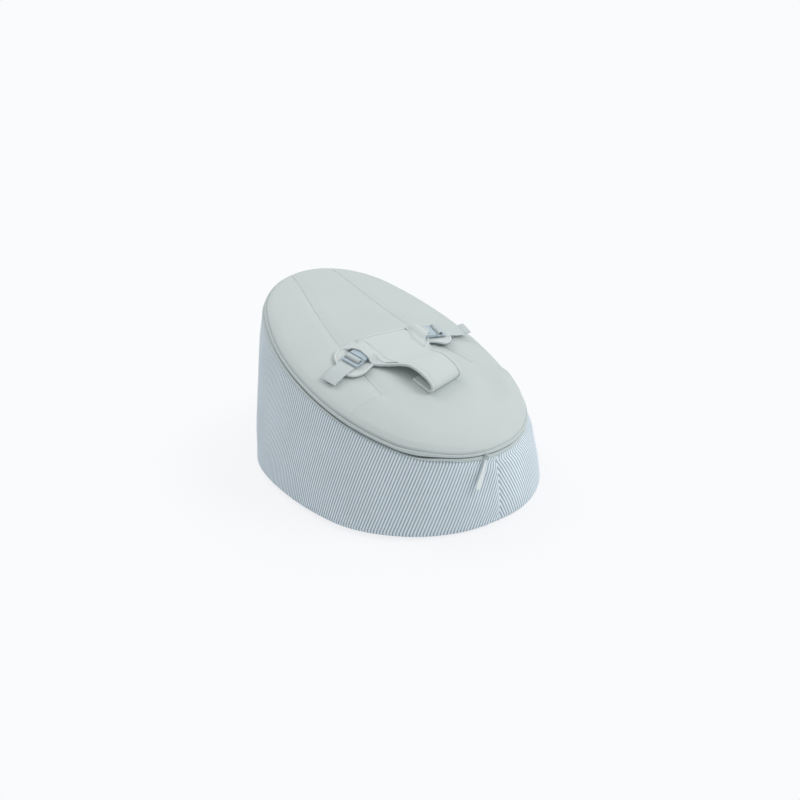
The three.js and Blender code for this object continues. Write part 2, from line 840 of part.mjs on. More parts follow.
// Where the strap below runs: its upper and lower runs and the bend past the tongue's end
const webbingSkin = seatGap + webbingThickness / 2;
const strapUpper = -webbingSkin - webbingThickness - seatGap;
const strapLower = webbingSkin - plateBase;
const strapRadius = (strapUpper - strapLower) / 2;
const tongueEnd = guardEndReach + bindingWidth + 3 * seatGap - mouthA;
const strapBend = tongueEnd / Math.cos(buckleTurn) + webbingThickness;

// The webbing rises through the inner slot, rolls over the bar and leaves under the outer bar
function addWebbing(name, side, drop) {
  const up = barFront - webbingSkin;
  const down = barBack + webbingSkin;
  const over = plateThickness + webbingSkin;
  const under = -webbingSkin;
  const ease = webbingThickness / 2;
  const tailEnd = plateBack + tailLength;
  const fallStart = strapBend + strapRadius + webbingThickness;
  const tailFall = (along) => under - drop * (Math.max(along - fallStart, 0) / (tailEnd - fallStart)) ** 2;
  const hemStart = tailEnd - tailHem;
  const tail = [plateBack, fallStart, mix(fallStart, hemStart, 0.5), hemStart, tailEnd];
  const line = [
    [up, under - webbingThickness / 2],
    [up, over - ease],
    [up + ease, over],
    [down - ease, over],
    [down, over - ease],
    [down, under + ease],
    [down + ease, under],
    ...tail.map((along) => [along, tailFall(along)]),
  ];
  addPiece(`webbing_${name}`, ribbon(line, side), webbingGrey, 0.8);
}

// The same strap below: out past the tongue, round its end and back under it to the seam
function addLoadStrap(name, side) {
  const middle = (strapUpper + strapLower) / 2;
  const bends = turns(4, Math.PI / 2, -Math.PI / 2).map((turn) => [
    strapBend + strapRadius * Math.cos(turn),
    middle + strapRadius * Math.sin(turn),
  ]);
  const start = barFront - webbingSkin - webbingThickness / 2;
  const line = [[start, strapUpper], ...bends, [start, strapLower]];
  addPiece(`load_strap_${name}`, ribbon(line, side), webbingGrey, 0.8);
}

// A band that rises off the arm, bridges the socket and ends in an arched mouth
function addFacing(name, side) {
  const guardTop = guardLift + guardThickness + seatGap;
  const padTop = padLift + padThickness + 3 * seatGap;
  const socketTop = plateBase + (plateThickness + socketHeight) / 2 + seatGap;
  const padEnd = armReach - lobeU;
  const lowB = armFootW - lobeW + bindingWidth;
  const highB = armHeadW - lobeW - bindingWidth;
  const socketHalf = socketWidth / 2 + 2 * seatGap;
  const slopeWidth = guardHalfWidth - socketHalf - socketWall;
  const height = (a, b) => {
    const overPad = 1 - smooth((a - padEnd - bindingWidth) / padThickness);
    const rest = mix(guardTop, padTop, overPad);
    const across = Math.abs(b - mouthB - (mouthA - a) * Math.tan(buckleTurn));
    const bridge = 1 - smooth((across - socketHalf - socketWall) / slopeWidth);
    const ramp = smooth((a - facingInnerA) / (padEnd - facingInnerA - facingThickness));
    return mix(rest, socketTop, bridge * ramp);
  };
  const rowShares = [0, 0.1, 0.2, 0.32, 0.44, 0.56, 0.68, 0.8, 0.9, 1];
  const alongShares = [0, 0.12, 0.25, 0.37, 0.5, 0.65, 0.82, 1];
  const rings = rowShares.map((rowShare) => {
    const b = mix(lowB, highB, rowShare);
    const fromMiddle = 2 * rowShare - 1;
    const end = facingOuterA - facingArch * (1 - fromMiddle * fromMiddle);
    const places = alongShares.map((share) => mix(facingInnerA, end, share));
    return [
      ...places.map((a) => new THREE.Vector3(a, b, height(a, b) + facingThickness)),
      ...places.map((a) => new THREE.Vector3(a, b, height(a, b))).reverse(),
    ];
  });
  addPiece(`arm_facing_${name}`, placed(loft(rings), lobeFrame(side)), fabricGrey, 0.75);
}

// Zip slider, run a little past the front seam

const sliderAngle = -Math.PI / 2 - THREE.MathUtils.degToRad(sliderTurnDegrees);

// The slider's frame: along the rim, out and up as in the rim's section
function sliderFrame() {
  const origin = rimPoint(sliderAngle, 0, 0);
  const out = rimPoint(sliderAngle, 1, 0).sub(origin).normalize();
  const up = rimPoint(sliderAngle, 0, 1).sub(origin).normalize();
  const along = new THREE.Vector3().crossVectors(out, up);
  return new THREE.Matrix4().makeBasis(out, up, along).setPosition(origin);
}

const sliderFace = bandThickness / 2 + sliderClearance;
const bailCentre = sliderFace + sliderPlate + bailDepth / 2;

function addSlider() {
  const outer = sliderFace + sliderPlate;
  const innerNear = -sliderFace;
  const innerFar = -bandThickness / 2 - zipSetback + sliderClearance;
  const half = sliderHeight / 2;
  const innerHalf = half / 2;
  const neck = sliderNeck / 2;
  const section = new THREE.Shape([
    [outer, -half], [outer, half], [sliderFace, half], [sliderFace, neck],
    [innerNear, neck], [innerNear, innerHalf], [innerFar, innerHalf], [innerFar, -innerHalf],
    [innerNear, -innerHalf], [innerNear, -neck], [sliderFace, -neck], [sliderFace, -half],
  ].map(([x, y]) => new THREE.Vector2(x, y)));
  const body = plate(section, sliderLength, -sliderLength / 2);
  const bailHalf = bailHoleHeight / 2 + bailWire;
  const bailEnd = outer + bailDepth + bailWire;
  const loop = rectangle(new THREE.Shape(), outer - bailWire / 2, -bailHalf, bailEnd, bailHalf);
  const holeHalf = bailHoleHeight / 2;
  loop.holes.push(rectangle(new THREE.Path(), outer, -holeHalf, outer + bailDepth, holeHalf));
  const bail = plate(loop, bailLength, -bailLength / 2);
  const slider = fromManifold(toManifold(body).add(toManifold(bail)));
  addPiece('zip_slider', placed(slider, sliderFrame()), fabricGrey, 0.4);
}

// How far the wall below the slider leans outward, seen in the slider's frame
function wallLean() {
  const intoFrame = sliderFrame().invert();
  const top = wallPoint(sliderAngle, 0, 0).applyMatrix4(intoFrame);
  const low = wallPoint(sliderAngle, pullRestShare, 0).applyMatrix4(intoFrame);
  return Math.atan2(low.x - top.x, top.y - low.y);
}

// The pull hangs from the bail, askew: x along the ring's bar, y up the pull, z through its thickness
function pullFrame() {
  const skew = THREE.MathUtils.degToRad(pullSkewDegrees);
  const stand = new THREE.Matrix4().makeBasis(
    new THREE.Vector3(0, 0, 1),
    new THREE.Vector3(0, 1, 0),
    new THREE.Vector3(-1, 0, 0),
  ).setPosition(bailCentre, 0, 0);
  const hang = new THREE.Matrix4().makeRotationZ(skew).multiply(new THREE.Matrix4().makeRotationX(wallLean()));
  return sliderFrame().multiply(stand).multiply(hang);
}

function addPull() {
  const top = ringWire / 2;
  const ring = rectangle(new THREE.Shape(), -ringWidth / 2, top - ringLength, ringWidth / 2, top);
  ring.holes.push(rectangle(
    new THREE.Path(),
    ringWire - ringWidth / 2,
    top - ringLength + ringWire,
    ringWidth / 2 - ringWire,
    top - ringWire,
  ));
  const flat = plate(ring, ringThickness, -ringThickness / 2);
  addPiece('zip_pull_ring', placed(flat, pullFrame()), fabricGrey, 0.4);

  const eye = ringWire / 2 + seatGap;
  const eyeY = top - ringLength + ringWire / 2;
  const half = pullThickness / 2;
  const shoulder = eye + half;
  const tabWidth = ringWidth - 2 * ringWire - 2 * seatGap;
  const profile = new THREE.Shape([
    [-half, eyeY - pullLength], [half, eyeY - pullLength], [half, eyeY - 2 * shoulder],
    [shoulder, eyeY - eye], [shoulder, eyeY + eye], [half, eyeY + shoulder],
    [-half, eyeY + shoulder], [-shoulder, eyeY + eye], [-shoulder, eyeY - eye],
    [-half, eyeY - 2 * shoulder],
  ].map(([x, y]) => new THREE.Vector2(x, y)));
  const hole = rectangle(new THREE.Shape(), -eye, eyeY - eye, eye, eyeY + eye);
  const turned = new THREE.Matrix4().makeBasis(
    new THREE.Vector3(0, 0, 1),
    new THREE.Vector3(0, 1, 0),
    new THREE.Vector3(-1, 0, 0),
  );
  const upright = (shape, depth) => toManifold(plate(shape, depth, -depth / 2).applyMatrix4(turned));
  const end = upright(profile, tabWidth).subtract(upright(hole, 2 * tabWidth));
  const wideHalf = pullWidth / 2;
  const wide = rectangle(new THREE.Shape(), -wideHalf, eyeY - pullLength, wideHalf, eyeY - 3 * shoulder);
  const tab = end.add(toManifold(plate(wide, pullThickness, -half)));
  addPiece('zip_pull_tab', placed(fromManifold(tab), pullFrame()), fabricGrey, 0.85);
}

addSidePanel('side_panel_left', -1);
addSidePanel('side_panel_right', 1);
addBasePanel();
addZipHalf('lower', -1);
addInnerSack();
addLinerZip();
addSidePanelTop('top_panel_left', -1);
addCentrePanel();
addSidePanelTop('top_panel_right', 1);
addFrontPanel();
addZipHalf('upper', 1);
addCrotchStrap();
addHarnessPad();
addHarnessBindings();
for (const [name, side, drop] of [['left', -1, tailDropLeft], ['right', 1, tailDropRight]]) {
  addGuard(name, side);
  addSocket(name, side);
  addClip(name, side);
  addWebbing(name, side, drop);
  addLoadStrap(name, side);
  addFacing(name, side);
}
addSlider();
addPull();

export default product;
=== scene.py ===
import math

import bmesh
import bpy
import numpy as np
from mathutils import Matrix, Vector


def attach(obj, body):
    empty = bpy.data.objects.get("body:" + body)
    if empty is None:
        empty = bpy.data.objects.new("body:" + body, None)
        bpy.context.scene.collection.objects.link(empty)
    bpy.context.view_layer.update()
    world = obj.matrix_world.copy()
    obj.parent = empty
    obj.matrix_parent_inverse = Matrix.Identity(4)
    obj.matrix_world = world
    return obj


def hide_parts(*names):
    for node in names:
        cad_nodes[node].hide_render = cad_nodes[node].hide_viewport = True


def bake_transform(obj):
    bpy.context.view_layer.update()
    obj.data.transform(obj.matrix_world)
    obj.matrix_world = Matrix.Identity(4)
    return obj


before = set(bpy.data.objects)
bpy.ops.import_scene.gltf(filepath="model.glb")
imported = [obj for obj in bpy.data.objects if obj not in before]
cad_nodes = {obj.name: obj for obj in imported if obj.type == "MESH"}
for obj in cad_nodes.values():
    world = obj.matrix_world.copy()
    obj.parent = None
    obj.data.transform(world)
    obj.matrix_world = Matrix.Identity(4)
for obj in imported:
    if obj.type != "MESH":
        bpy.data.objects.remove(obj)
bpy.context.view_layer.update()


# Side walls. Each half of the wall is one panel of ribbed cord cloth, cut flat with its ribs nearly
# square to the sloping rim, so they meet in a chevron at the front seam. The foot of each panel turns
# under and is sewn to the base, and its top edge goes up behind the lower band.

foot_height, foot_inset, floor_gap = 0.012, 0.018, 0.0003
wall_bulge, right_bulge, cloth_waves = 0.0014, 0.0080, 0.0014
cloth_thickness, cloth_tuck, tuck_rise = 0.0016, 0.0012, 0.0015
tuck_width, side_tuck, side_tuck_width = 0.0018, 0.0018, 0.0014
rib_pitch, rib_depth = 0.00525, 0.0010
rib_lean, rib_lean_swing = math.radians(8.5), math.radians(3.5)
swing_place, swing_width = -0.25, 0.16
samples_per_rib = 5
rib_profile = np.array([0.0, 0.78, 1.0, 1.0, 0.78])
seam_pull, seam_shift, seam_shift_width = 0.0014, 0.0070, 0.06
foot_draw, front_draw = 0.0045, 0.0030
base_centre_y = -0.002
rim_centre_y, rim_centre_z = 0.0055, 0.2115
rim_tilt, rim_lean, rim_rise = math.radians(17.4), math.radians(16), 0.0155
rim_half_length, rim_half_width = 0.299, 0.198
band_height, band_half, zip_half = 0.0075, 0.0012, 0.0008
seat_droop, left_droop = 0.0025, 0.0042
zip_hang, zip_gape, wide_gape, band_gather, zip_recess = 0.0045, 0.0016, 0.0005, 0.0028, 0.0045
seat_droop_place, left_droop_place = (150, 170, 255, 277), (174, 200, 206, 228)
hang_place, gape_place, wide_gape_place = (172, 200, 212, 236), (186, 200, 222, 236), (160, 180, 225, 250)
gather_place, recess_place = (226, 237, 237, 252), (188, 202, 220, 233)


class Oval:
    """Four arcs that meet smoothly. A point is named by the direction of its outward normal."""

    def __init__(self, half_length, half_width, end_inset):
        self.end_radius = half_width - end_inset
        self.side_radius = half_length + (half_length - half_width) ** 2 / (2 * end_inset)
        self.end_centre = half_length - self.end_radius
        self.side_centre = self.side_radius - half_width
        self.shoulder = math.atan2(self.side_centre, self.end_centre)

    def at(self, angle, grow=0.0):
        across, along = np.cos(angle), np.sin(angle)
        on_side = np.abs(across) >= math.sin(self.shoulder)
        x = np.where(on_side, (self.side_radius + grow) * across - np.sign(across) * self.side_centre,
                     (self.end_radius + grow) * across)
        s = np.where(on_side, (self.side_radius + grow) * along,
                     np.sign(along) * self.end_centre + (self.end_radius + grow) * along)
        return x, s

    def inside(self, x, s):
        x, s = np.abs(x), np.abs(s)
        turned = np.arctan2(s, x + self.side_centre)
        return np.where(turned < math.pi / 2 - self.shoulder,
                        self.side_radius - np.hypot(x + self.side_centre, s),
                        self.end_radius - np.hypot(x, s - self.end_centre))

    def facing(self, x, s):
        """The direction of the outward normal at the place of the edge that is nearest."""
        beside = np.arctan2(np.abs(s), np.abs(x) + self.side_centre)
        ahead = np.arctan2(np.abs(s) - self.end_centre, np.abs(x))
        turn = np.where(beside < math.pi / 2 - self.shoulder, beside, ahead)
        return np.arctan2(np.sign(s) * np.sin(turn), np.sign(x) * np.cos(turn))


base_oval = Oval(0.2955, 0.246, 0.006)
rim_oval = Oval(rim_half_length, rim_half_width, 0.029)


def stack(*parts):
    return np.stack(np.broadcast_arrays(*parts), -1).astype(float)


def on_slope(x, s, n):
    """From the seat's sloping plane (x across, s up the slope, n off it) to the object's frame."""
    return stack(x, rim_centre_y + s * math.cos(rim_tilt) - n * math.sin(rim_tilt),
                 rim_centre_z + s * math.sin(rim_tilt) + n * math.cos(rim_tilt))


def rise(s):
    return rim_rise * (s / rim_half_length) ** 2


def smooth(value):
    t = np.clip(value, 0, 1)
    return t * t * (3 - 2 * t)


def window(angle, start, full, falling, end):
    """From 0 to 1 and back along the rim, by degrees counted from the right side over the head."""
    turn = np.degrees(angle) % 360
    return smooth((turn - start) / (full - start)) * (1 - smooth((turn - falling) / (end - falling)))


def seat_settle(angle):
    """How far the seat's edge hangs over toward the floor, most of all at the left of the front."""
    return seat_droop * window(angle, *seat_droop_place) + left_droop * window(angle, *left_droop_place)


def rim_settle(angle, up):
    """How far one level of the rim hangs down. Where it hangs most, the lower band is nearly hidden."""
    hang = zip_hang * window(angle, *hang_place)
    gape = zip_gape * window(angle, *gape_place) + wide_gape * window(angle, *wide_gape_place)
    gather = band_gather * window(angle, *gather_place)
    over = np.clip((up - zip_half) / band_height, 0, 1)
    across = np.clip((zip_half - up) / (2 * zip_half), 0, 1)
    below = np.clip((-zip_half - up) / band_height, 0, 1)
    return hang + gape * across + (seat_settle(angle) - hang) * over - (hang + gape + gather) * below


def rim_point(angle, out, up):
    """A point of the rim's section, out and up along the leaning bands."""
    at_zip = np.clip(1.6 - 1.6 * np.abs(up) / zip_half, 0, 1)
    up = up - rim_settle(angle, up)
    out = out - zip_recess * window(angle, *recess_place) * at_zip
    grow = out * math.cos(rim_lean) - up * math.sin(rim_lean)
    lift = out * math.sin(rim_lean) + up * math.cos(rim_lean)
    line = rim_oval.at(angle)[1]
    x, s = rim_oval.at(angle, grow)
    return on_slope(x, s, lift + rise(line))


def mix(a, b, t):
    return a + (b - a) * t


def from_srgb(red, green, blue):
    """A colour written as it looks on a screen, as the shader needs it."""
    shares = [c / 255 for c in (red, green, blue)]
    return [c / 12.92 if c <= 0.04045 else ((c + 0.055) / 1.055) ** 2.4 for c in shares] + [1.0]


def grid_faces(rows, columns):
    index = np.arange(rows * columns).reshape(rows, columns)
    return np.stack([index[:-1, :-1], index[:-1, 1:], index[1:, 1:], index[1:, :-1]], -1).reshape(-1, 4)


def make_piece(name, points, faces, surface, uv=None, sharp=40, tidy=True):
    """A mesh piece with its doubles merged, its faces outward and its shading smooth."""
    mesh = bpy.data.meshes.new(name)
    places = np.asarray(points, float).reshape(-1, 3).tolist()
    mesh.from_pydata(places, [], [list(map(int, f)) for f in faces])
    if uv is not None:
        corners = np.empty(len(mesh.loops), np.int32)
        mesh.loops.foreach_get("vertex_index", corners)
        layer = mesh.uv_layers.new(name="cut")
        layer.data.foreach_set("uv", np.asarray(uv, np.float32).reshape(-1, 2)[corners].ravel())
    if tidy:
        shape = bmesh.new()
        shape.from_mesh(mesh)
        bmesh.ops.remove_doubles(shape, verts=shape.verts, dist=1e-6)
        bmesh.ops.recalc_face_normals(shape, faces=shape.faces)
        shape.to_mesh(mesh)
        shape.free()
    mesh.shade_smooth()
    mesh.set_sharp_from_angle(angle=math.radians(sharp))
    piece = bpy.data.objects.new(name, mesh)
    bpy.context.scene.collection.objects.link(piece)
    mesh.materials.append(surface)
    return piece


def baked(piece):
    """The same piece with its modifiers turned into plain mesh."""
    graph = bpy.context.evaluated_depsgraph_get()
    mesh = bpy.data.meshes.new_from_object(piece.evaluated_get(graph))
    piece.modifiers.clear()
    piece.data = mesh
    return piece


def wall_line(angle, share):
    top = rim_point(angle, band_half - cloth_tuck * 0.5, -zip_half - band_height)
    x, y = base_oval.at(angle)
    return mix(top, stack(x, y + base_centre_y, foot_height), np.asarray(share)[..., None])


def unrolled_wall():
    """Flat places of the wall's top and foot edges, laid out triangle by triangle from mid side."""
    angles = np.linspace(-math.pi / 2, math.pi / 2, 1201)
    top, foot = wall_line(angles, 0.0), wall_line(angles, 1.0)
    middle = len(angles) // 2
    flat_top, flat_foot = np.zeros((len(angles), 2)), np.zeros((len(angles), 2))
    flat_foot[middle] = 0, -np.linalg.norm(top[middle] - foot[middle])

    def across(a, b, from_a, from_b, sense):
        gap = b - a
        length = math.hypot(*gap)
        along = (from_a ** 2 - from_b ** 2 + length ** 2) / (2 * length)
        off = math.sqrt(max(from_a ** 2 - along ** 2, 0))
        return a + gap / length * along + sense * off * np.array([-gap[1], gap[0]]) / length

    for step in (1, -1):
        i = middle
        while 0 <= i + step < len(angles):
            j = i + step
            flat_foot[j] = across(flat_top[i], flat_foot[i], np.linalg.norm(top[i] - foot[j]),
                                  np.linalg.norm(foot[i] - foot[j]), step)
            flat_top[j] = across(flat_top[i], flat_foot[j], np.linalg.norm(top[i] - top[j]),
                                 np.linalg.norm(foot[j] - top[j]), step)
            i = j
    return angles, flat_top, flat_foot


def slack(x, y, phase):
    """Soft waves of cloth that isn't pulled quite tight."""
    return (np.sin(x / 0.027 + 1.7 * np.sin(y / 0.05 + phase)) * 0.5
            + np.sin(x / 0.061 - y / 0.04 + 2.1 * phase) * 0.8
            + np.sin(x / 0.016 + y / 0.033 + 3.3 * phase) * 0.22)


flat_angles, flat_top, flat_foot = unrolled_wall()
cut_outline = np.vstack([flat_top, flat_foot[::-1]])
cut_x, cut_y = cut_outline[:, 0], cut_outline[:, 1]
cut_area = abs(np.sum(cut_x * np.roll(cut_y, -1) - cut_y * np.roll(cut_x, -1))) / 2
turn_under = 0.024
cut_area += turn_under * np.ptp(flat_foot[:, 0])
top_shares = [0, 0.005, 0.011, 0.018, 0.027, 0.04, 0.058, 0.08]
wall_shares = np.array(top_shares + list(np.linspace(0.11, 1, 30)))
under_shares = np.linspace(0.12, 1, 8)


def rib_slant(place):
    """Tangent of a rib's lean in the flat cloth, named by the rib's own place along the panel."""
    return np.tan(rib_lean + rib_lean_swing * np.exp(-((place - swing_place) / swing_width) ** 2))


def side_cloth(name, side, surface):
    ends = [flat_foot[end, 0] + flat_foot[end, 1] * rib_slant(flat_foot[end, 0]) for end in (0, -1)]
    columns = np.arange(ends[0] - rib_pitch, ends[1] + rib_pitch, rib_pitch / samples_per_rib)
    ribs = rib_profile[np.arange(len(columns)) % samples_per_rib]
    slant = rib_slant(columns)
    start = np.zeros(len(columns))
    seam_tops = [flat_top[end, 0] + flat_top[end, 1] * slant for end in (0, -1)]
    seam_feet = [flat_foot[end, 0] + flat_foot[end, 1] * slant for end in (0, -1)]
    for seam_top, seam_foot, sense in zip(seam_tops, seam_feet, (-1, 1)):
        lean = (seam_foot - seam_top) * sense
        entry = np.clip((columns - seam_top) * sense / np.maximum(lean, 1e-6), 0, 1)
        start = np.maximum(start, np.where(lean > 0, entry, 0))
    share = start + (1 - start) * np.append(wall_shares, np.ones(len(under_shares)))[:, None]
    low = np.full(share.shape, -math.pi / 2)
    high = np.full(share.shape, math.pi / 2)

    def column_at(turn, edge):
        """The rib that meets a flat edge of the panel at one direction round the wall."""
        return np.interp(turn, flat_angles, edge[:, 0]) + slant * np.interp(turn, flat_angles, edge[:, 1])

    for _ in range(28):
        middle = (low + high) / 2
        past = mix(column_at(middle, flat_top), column_at(middle, flat_foot), share) > columns
        high, low = np.where(past, middle, high), np.where(past, low, middle)
    angle = (low + high) / 2
    turn = np.append(np.zeros(len(wall_shares)), under_shares)[:, None] * math.pi / 2 + 0 * angle
    points = wall_line(angle, share)
    height = np.linalg.norm(wall_line(angle, 0.0) - wall_line(angle, 1.0), axis=-1)
    down = share * height
    to_seam = np.min([np.abs(mix(a, b, share) - columns) for a, b in zip(seam_tops, seam_feet)], axis=0)
    facing = np.cos(angle) * side * math.cos(math.radians(40)) - np.sin(angle) * math.sin(math.radians(40))
    swell = (wall_bulge * np.sin(math.pi * share)
             + right_bulge * smooth((facing - 0.15) / 0.8) * smooth(share / 0.18) * (1 - 0.5 * share))
    swell -= smooth((share - 0.72) / 0.28) * (foot_draw * smooth((angle + 0.45) / 0.6)
                                              + front_draw * np.exp(-((angle + math.pi / 2) / 0.25) ** 2))
    waves = (cloth_waves * slack(columns + 0 * share, down, 0.7 + side) * smooth(down / 0.04)
             * (1 - 0.7 * share ** 3) * smooth(to_seam / 0.035))
    on_side = smooth((angle + 1.35) / 0.5) * smooth((0.7 - angle) / 0.5)
    tucked = np.exp(-(down / (tuck_width + side_tuck_width * on_side)) ** 2)
    tuck = (cloth_tuck + side_tuck * on_side) * tucked + seam_pull * np.exp(-(to_seam / 0.004) ** 2)
    fade = smooth(to_seam / 0.0035) * (1 - 0.6 * np.sin(turn))
    out = swell + waves - tuck + rib_depth * (ribs - 0.5) * fade
    under = foot_inset * (1 - np.cos(turn))
    outward = stack(np.cos(angle), np.sin(angle), 0)
    normal = outward * np.cos(turn)[..., None] - stack(0, 0, 1) * np.sin(turn)[..., None]
    points = points + normal * out[..., None] - outward * under[..., None]
    points[..., 2] += tuck_rise * tucked - (foot_height - floor_gap) * np.sin(turn)
    points[..., 2] = np.maximum(points[..., 2], floor_gap)
    points[..., 0] *= side
    drawn = np.exp(-(points[..., 0] / seam_shift_width) ** 2) * (points[..., 1] < 0)
    points[..., 0] -= seam_shift * (1 - share) * smooth(down / 0.01) * drawn
    uv = np.stack([np.broadcast_to(np.arange(len(columns)) / samples_per_rib, share.shape), down], -1)
    piece = make_piece(name, points, grid_faces(*share.shape), surface, uv=uv, sharp=80)
    faced_out = sum(p.normal.dot(p.center - Vector((0, 0, p.center.z))) for p in piece.data.polygons)
    if faced_out < 0:
        piece.data.flip_normals()
    wall = piece.modifiers.new("thickness", "SOLIDIFY")
    wall.thickness, wall.offset = cloth_thickness, -1
    baked(piece)
    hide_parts(name.replace("side_cloth", "side_panel"))
    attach(piece, "base_bag")
    return piece


def wire(tree, kind, sockets=(), **settings):
    """Adds a node, sets its properties, and gives its sockets a value or a link."""
    made = tree.nodes.new(kind)
    for key, value in settings.items():
        setattr(made, key, value)
    for key, value in dict(sockets).items():
        if isinstance(value, bpy.types.NodeSocket):
            tree.links.new(value, made.inputs[key])
        else:
            made.inputs[key].default_value = value
    return made


def new_surface(name, roughness, sheen=0.0):
    surface = bpy.data.materials.new(name)
    surface.use_nodes = True
    shader = surface.node_tree.nodes["Principled BSDF"]
    shader.inputs["Roughness"].default_value = roughness
    if sheen:
        shader.inputs["Sheen Weight"].default_value = sheen
        shader.inputs["Sheen Roughness"].default_value = 0.4
    return surface, surface.node_tree, shader


def noise(tree, place, scale, detail, **sockets):
    """Cloudy noise by the object's own coordinates."""
    return wire(tree, "ShaderNodeTexNoise",
                {"Vector": place.outputs["Object"], "Scale": scale, "Detail": detail, **sockets})


def maths(tree, operation, *values):
    return wire(tree, "ShaderNodeMath", dict(enumerate(values)), operation=operation)


def ranged(tree, value, low, high, to_low, to_high, kind="LINEAR"):
    """A value spread from one range to another."""
    return wire(tree, "ShaderNodeMapRange", {0: value.outputs[0], 1: low, 2: high, 3: to_low, 4: to_high},
                interpolation_type=kind)


def toned(tree, share, dark, pale):
    """A colour between two, by a share."""
    return wire(tree, "ShaderNodeMix", {0: share.outputs[0], 6: dark, 7: pale}, data_type="RGBA")


def finished(tree, shader, colour, height, strength, distance):
    """Joins a colour and a fine relief to the shader."""
    bump = wire(tree, "ShaderNodeBump", {"Height": height.outputs[0], "Strength": strength,
                                         "Distance": distance})
    tree.links.new(colour, shader.inputs["Base Color"])
    tree.links.new(bump.outputs[0], shader.inputs["Normal"])


def cord_cloth():
    """Ribbed cord: painted shade darkens the rib valleys and a painted highlight pales the rib tops, with the fine yarn
    in both.
    """
    surface, tree, shader = new_surface("ribbed_cord_cloth_painted_shade", 0.88, sheen=0.12)
    place = wire(tree, "ShaderNodeTexCoord")
    cut = wire(tree, "ShaderNodeSeparateXYZ", {0: place.outputs["UV"]})
    turn = maths(tree, "MULTIPLY", cut.outputs[0], 2 * math.pi)
    wave = maths(tree, "COSINE", turn.outputs[0])
    # Painted shade and highlight: this share runs from the rib valleys, painted dark, to the rib tops, painted pale.
    top = ranged(tree, wave, 0.95, -0.35, 0.0, 1.0, "SMOOTHSTEP")
    shade = ranged(tree, noise(tree, place, 9.0, 3.0), 0.3, 0.7, 0.955, 1.03)
    # The valleys take the dark tone as painted shade and the rib tops the pale tone as a painted highlight.
    colour = toned(tree, top, from_srgb(158, 175, 185), from_srgb(233, 243, 249))
    tinted = wire(tree, "ShaderNodeVectorMath", {0: colour.outputs[2]}, operation="SCALE")
    tree.links.new(shade.outputs[0], tinted.inputs["Scale"])
    finished(tree, shader, tinted.outputs[0], noise(tree, place, 1900.0, 1.0), 0.25, 0.0003)
    return surface


cord_painted_shade_surface = cord_cloth()
side_cloth("side_cloth_left", -1, cord_painted_shade_surface)
side_cloth("side_cloth_right", 1, cord_painted_shade_surface)


# Base panel. One oval of plain woven cloth closes the bag below. It lies flat on the floor, and the
# turned feet of the side walls are sewn round its edge.

def plain_weave(name, tone, dark, thread, strength, roughness=0.85):
    """Woven cloth seen as crossing threads, with the thread's width in metres."""
    surface, tree, shader = new_surface(name, roughness, sheen=0.1)
    place = wire(tree, "ShaderNodeTexCoord")
    axes = wire(tree, "ShaderNodeSeparateXYZ", {0: place.outputs["Object"]})
    waves = []
    for axis in (0, 1):
        turn = maths(tree, "MULTIPLY", axes.outputs[axis], math.pi / thread)
        waves.append(maths(tree, "SINE", turn.outputs[0]))
    cross = maths(tree, "MULTIPLY", waves[0].outputs[0], waves[1].outputs[0])
    cloud = noise(tree, place, 14.0, 4.0)
    both = maths(tree, "MULTIPLY_ADD", cross.outputs[0], 0.25, cloud.outputs[0])
    finished(tree, shader, toned(tree, both, dark, tone).outputs[2], cross, strength, 0.0002)
    return surface


def dress(node_name, surface):
    """Gives a node that stays as built its own finish."""
    slots = cad_nodes[node_name].data.materials
    slots.clear()
    slots.append(surface)


base_surface = plain_weave("base_cloth", from_srgb(176, 189, 196), from_srgb(150, 163, 171), 0.0009, 0.3)
dress("base_panel", base_surface)


# Bands of the rim. Two folded strips of the coated seat cloth run all round: the lower one is sewn to
# the side walls, the upper one to the seat cover, and the zip lies hidden between them.

def coated_cloth(name, tone, shade, grain=1150.0):
    """Smooth coated cloth: matt, with a very fine grain and hardly any change of tone."""
    surface, tree, shader = new_surface(name, 0.6, sheen=0.08)
    place = wire(tree, "ShaderNodeTexCoord")
    spread = ranged(tree, noise(tree, place, 7.0, 3.0, Roughness=0.6), 0.3, 0.7, 0.0, 1.0)
    fine = noise(tree, place, grain, 2.0)
    gloss = ranged(tree, fine, 0.3, 0.7, 0.54, 0.68)
    tree.links.new(gloss.outputs[0], shader.inputs["Roughness"])
    finished(tree, shader, toned(tree, spread, shade, tone).outputs[2], fine, 0.12, 0.0002)
    return surface


seat_surface = coated_cloth("coated_seat_cloth", from_srgb(204, 213, 211), from_srgb(200, 209, 207))
band_surface = coated_cloth("coated_band_cloth", from_srgb(202, 211, 210), from_srgb(194, 205, 205))


def rounded_slab(low_out, high_out, low_up, high_up, radius, steps=3):
    """A slab section with rounded corners, as rows of (out, up)."""
    corners = [(high_out - radius, high_up - radius, 0), (low_out + radius, high_up - radius, 1),
               (low_out + radius, low_up + radius, 2), (high_out - radius, low_up + radius, 3)]
    places = []
    for out, up, quarter in corners:
        for k in range(steps + 1):
            turn = (quarter + k / steps) * math.pi / 2
            places.append((out + radius * math.cos(turn), up + radius * math.sin(turn)))
    return np.array(places)


def ring_faces(rings, around, closed):
    """Faces of a tube through rings of points, its ends joined or capped."""
    index = np.arange(rings * around).reshape(rings, around)
    if closed:
        index = np.vstack([index, index[:1]])
    turned = np.roll(index, -1, 1)
    faces = np.stack([index[:-1], turned[:-1], turned[1:], index[1:]], -1).reshape(-1, 4).tolist()
    return faces if closed else faces + [index[0][::-1].tolist(), index[-1].tolist()]


rim_angles = np.linspace(-math.pi / 2, 1.5 * math.pi, 400, endpoint=False)


